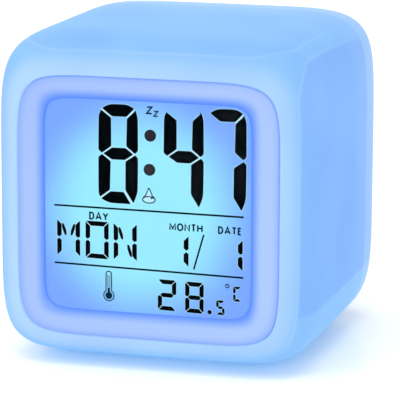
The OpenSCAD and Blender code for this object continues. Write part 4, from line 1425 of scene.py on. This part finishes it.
@dataclass
class Batteries:
    """Four cells with sleeve, rims and tips."""

    r: float = 5.25
    tip: float = 1.0
    centre_y: float = 31.4
    at_x: tuple[float, ...] = (-16.35, -5.45, 5.45, 16.35)

    def cell_mesh(self, x: float, up: bool) -> Mesh:
        """A cell turned from one profile: crimped rims, a sunk end face and a domed tip."""
        r, can, tip = self.r, CELL_CAN, CELL_CAN + self.tip
        points = [(0.0, 0.0), (3.6, 0.0), (3.9, 0.25), (4.7, 0.25), (4.9, 0.0), (r, 0.3), (r, can - 0.35),
                  (4.95, can), (4.6, can), (4.4, can - 0.3), (1.9, can - 0.3), (1.9, tip - 0.25), (1.4, tip),
                  (0.0, tip)]
        profile = rounded(points, [0, .1, .1, .1, .1, .2, .2, .1, .1, .1, 0, .2, .2, 0], 4)
        if not up:
            profile = profile * (1, -1)
        return swept(turned(profile, (x, self.centre_y, CELL_LOW if up else CELL_HIGH), "z", 64))

    def build(self) -> None:
        """Makes the cells, which point up and down in turn."""
        for i, x in enumerate(self.at_x):
            up = i % 2 == 0
            obj = linked(f"cell_{i + 1}", self.cell_mesh(x, up), 35)
            install(obj, Look.CELL_UP if up else Look.CELL_DOWN, "housing", "cell", f"battery_{i + 1}")


@dataclass
class Foot:
    """Foot plate and its rubber pads."""

    pad_at: float = 16.5

    def pads_mesh(self) -> Mesh:
        """Four pads turned from one profile with a rounded lower edge and a shallow dish."""
        profile = rounded([(0.0, 0.12), (2.6, 0.12), (3.0, 0.0), (4.5, 0.0), (4.5, 1.2), (0.0, 1.2)],
                          [0, .2, .2, .35, 0, 0])
        at = (-self.pad_at, self.pad_at)
        return joined([(turned(profile, (x, y, 0.0), "z", 48), False) for x in at for y in at])

    def build(self) -> None:
        """Makes the foot's pieces."""
        install_copy("foot_plate", "foot_tray", 0.15, Look.FOOT, "foot", "foot_plastic")
        install(linked("foot_pads", self.pads_mesh(), 35), Look.PAD, "foot", "foot_rubber", "rubber_feet")


INSIDE: dict[Look, tuple[str, ...]] = {
    Look.GUIDE: ("light_diffuser", "light_leds"),
    Look.WHITE: ("display_holder", "backlight_leds", "foot_bridge"),
    Look.ZEBRA: ("zebra_strip",),
    Look.BOARD: ("main_board", "button_board", "snooze_board"),
    Look.BLACK: ("board_parts", "temperature_sensor", "buzzer", "button_switches", "snooze_switch"),
    Look.PLUNGER: ("mode_plunger", "set_plunger", "up_plunger", "down_plunger", "snooze_plunger"),
    Look.STEEL: ("bezel_screws", "board_screws", "bridge_screws", "snooze_screws", "light_switch_frame",
                 "battery_springs", "battery_plates", "foot_springs"),
    Look.RIBBON: ("ribbon_cable",),
    Look.LEAD: ("battery_leads", "snooze_leads"),
}


# ---------------------------------------------------------------- studio

@dataclass
class Studio:
    """Pale floor, soft light and the camera."""

    azimuth: float = 16.127
    elevation: float = 11.662
    distance: float = 0.705539
    focal_px: float = 2804.075
    frame_px: float = 402.0
    sensor_mm: float = 36.0
    offset: Point = (0.001819, -0.006665)
    roll: float = 0.175
    sky: float = 0.85
    floor_half: float = 3.0

    def stand(self, name: str, data: bpy.types.ID, axes: tuple[Array, Array, Array], at: Array) -> Object:
        """Puts a camera or lamp in the scene, with its x, y and z axes and its place."""
        obj = bpy.data.objects.new(name, data)
        matrix = np.eye(4)
        matrix[:3] = np.column_stack([*axes, at])
        obj.matrix_world = Matrix(matrix.tolist())
        bpy.context.scene.collection.objects.link(obj)
        return obj

    def camera(self) -> None:
        """A long lens, turned by azimuth and elevation about the middle of the housing."""
        az, el, roll = np.radians([self.azimuth, self.elevation, self.roll])
        back = np.array([np.sin(az) * np.cos(el), -np.cos(az) * np.cos(el), np.sin(el)])
        right = np.array([np.cos(az), np.sin(az), 0.0])
        up = np.cross(back, right)
        right, up = right * np.cos(roll) + up * np.sin(roll), up * np.cos(roll) - right * np.sin(roll)
        at = np.array([0, 0, Z_MID * MM]) + back * self.distance + right * self.offset[0] + up * self.offset[1]
        data = bpy.data.cameras.new("camera")
        data.sensor_width = self.sensor_mm
        data.lens = self.focal_px * self.sensor_mm / self.frame_px
        data.clip_start, data.clip_end = 0.05, 20.0
        bpy.context.scene.camera = self.stand("camera", data, (right, up, back), at)

    def lamp(self, name: str, at: tuple[float, float, float], size: float, watts: float) -> None:
        """A square soft lamp that points at the clock."""
        data = bpy.data.lights.new(name, "AREA")
        data.size = size
        data.energy = watts
        z = np.array(at) / np.linalg.norm(at)
        x = np.cross([0, 0, 1.0], z)
        x /= np.linalg.norm(x)
        self.stand(name, data, (x, np.cross(z, x), z), np.array(at))

    def floor(self) -> None:
        """A wide pale floor with a faint sheen."""
        side = self.floor_half
        corners = np.array([[-side, -side, 0], [side, -side, 0], [side, side, 0], [-side, side, 0]]) / MM
        obj = linked("floor", mesh_from(corners, [np.array([[0, 1, 2, 3]])]))
        dress(obj, Look.FLOOR)

    def build(self) -> None:
        """Makes the studio."""
        scene = bpy.context.scene
        scene.view_settings.view_transform = "Standard"
        world = bpy.data.worlds.new("studio")
        world.use_nodes = True
        background = next(n for n in world.node_tree.nodes if n.type == "BACKGROUND")
        background.inputs["Color"].default_value = (1, 1, 1, 1)
        background.inputs["Strength"].default_value = self.sky
        scene.world = world
        self.camera()
        self.floor()
        self.lamp("key_lamp", (-2.2, -2.0, 2.2), 2.6, 36.0)
        self.lamp("top_lamp", (-0.1, -0.2, 3.6), 3.0, 66.0)
        self.lamp("low_lamp", (0.3, -2.4, 0.34), 1.4, 60.0)


def main() -> None:
    """Builds the studio and the clock, sub-assembly by sub-assembly."""
    logging.basicConfig(level=logging.INFO, format="%(name)s: %(message)s")
    Studio().build()
    Housing().build()
    Display().build()
    RearPanel().build()
    Batteries().build()
    Foot().build()
    for look, nodes in INSIDE.items():
        for node in nodes:
            redress(node, look)
    log.info("sizes written")


if __name__ == "__main__":
    main()
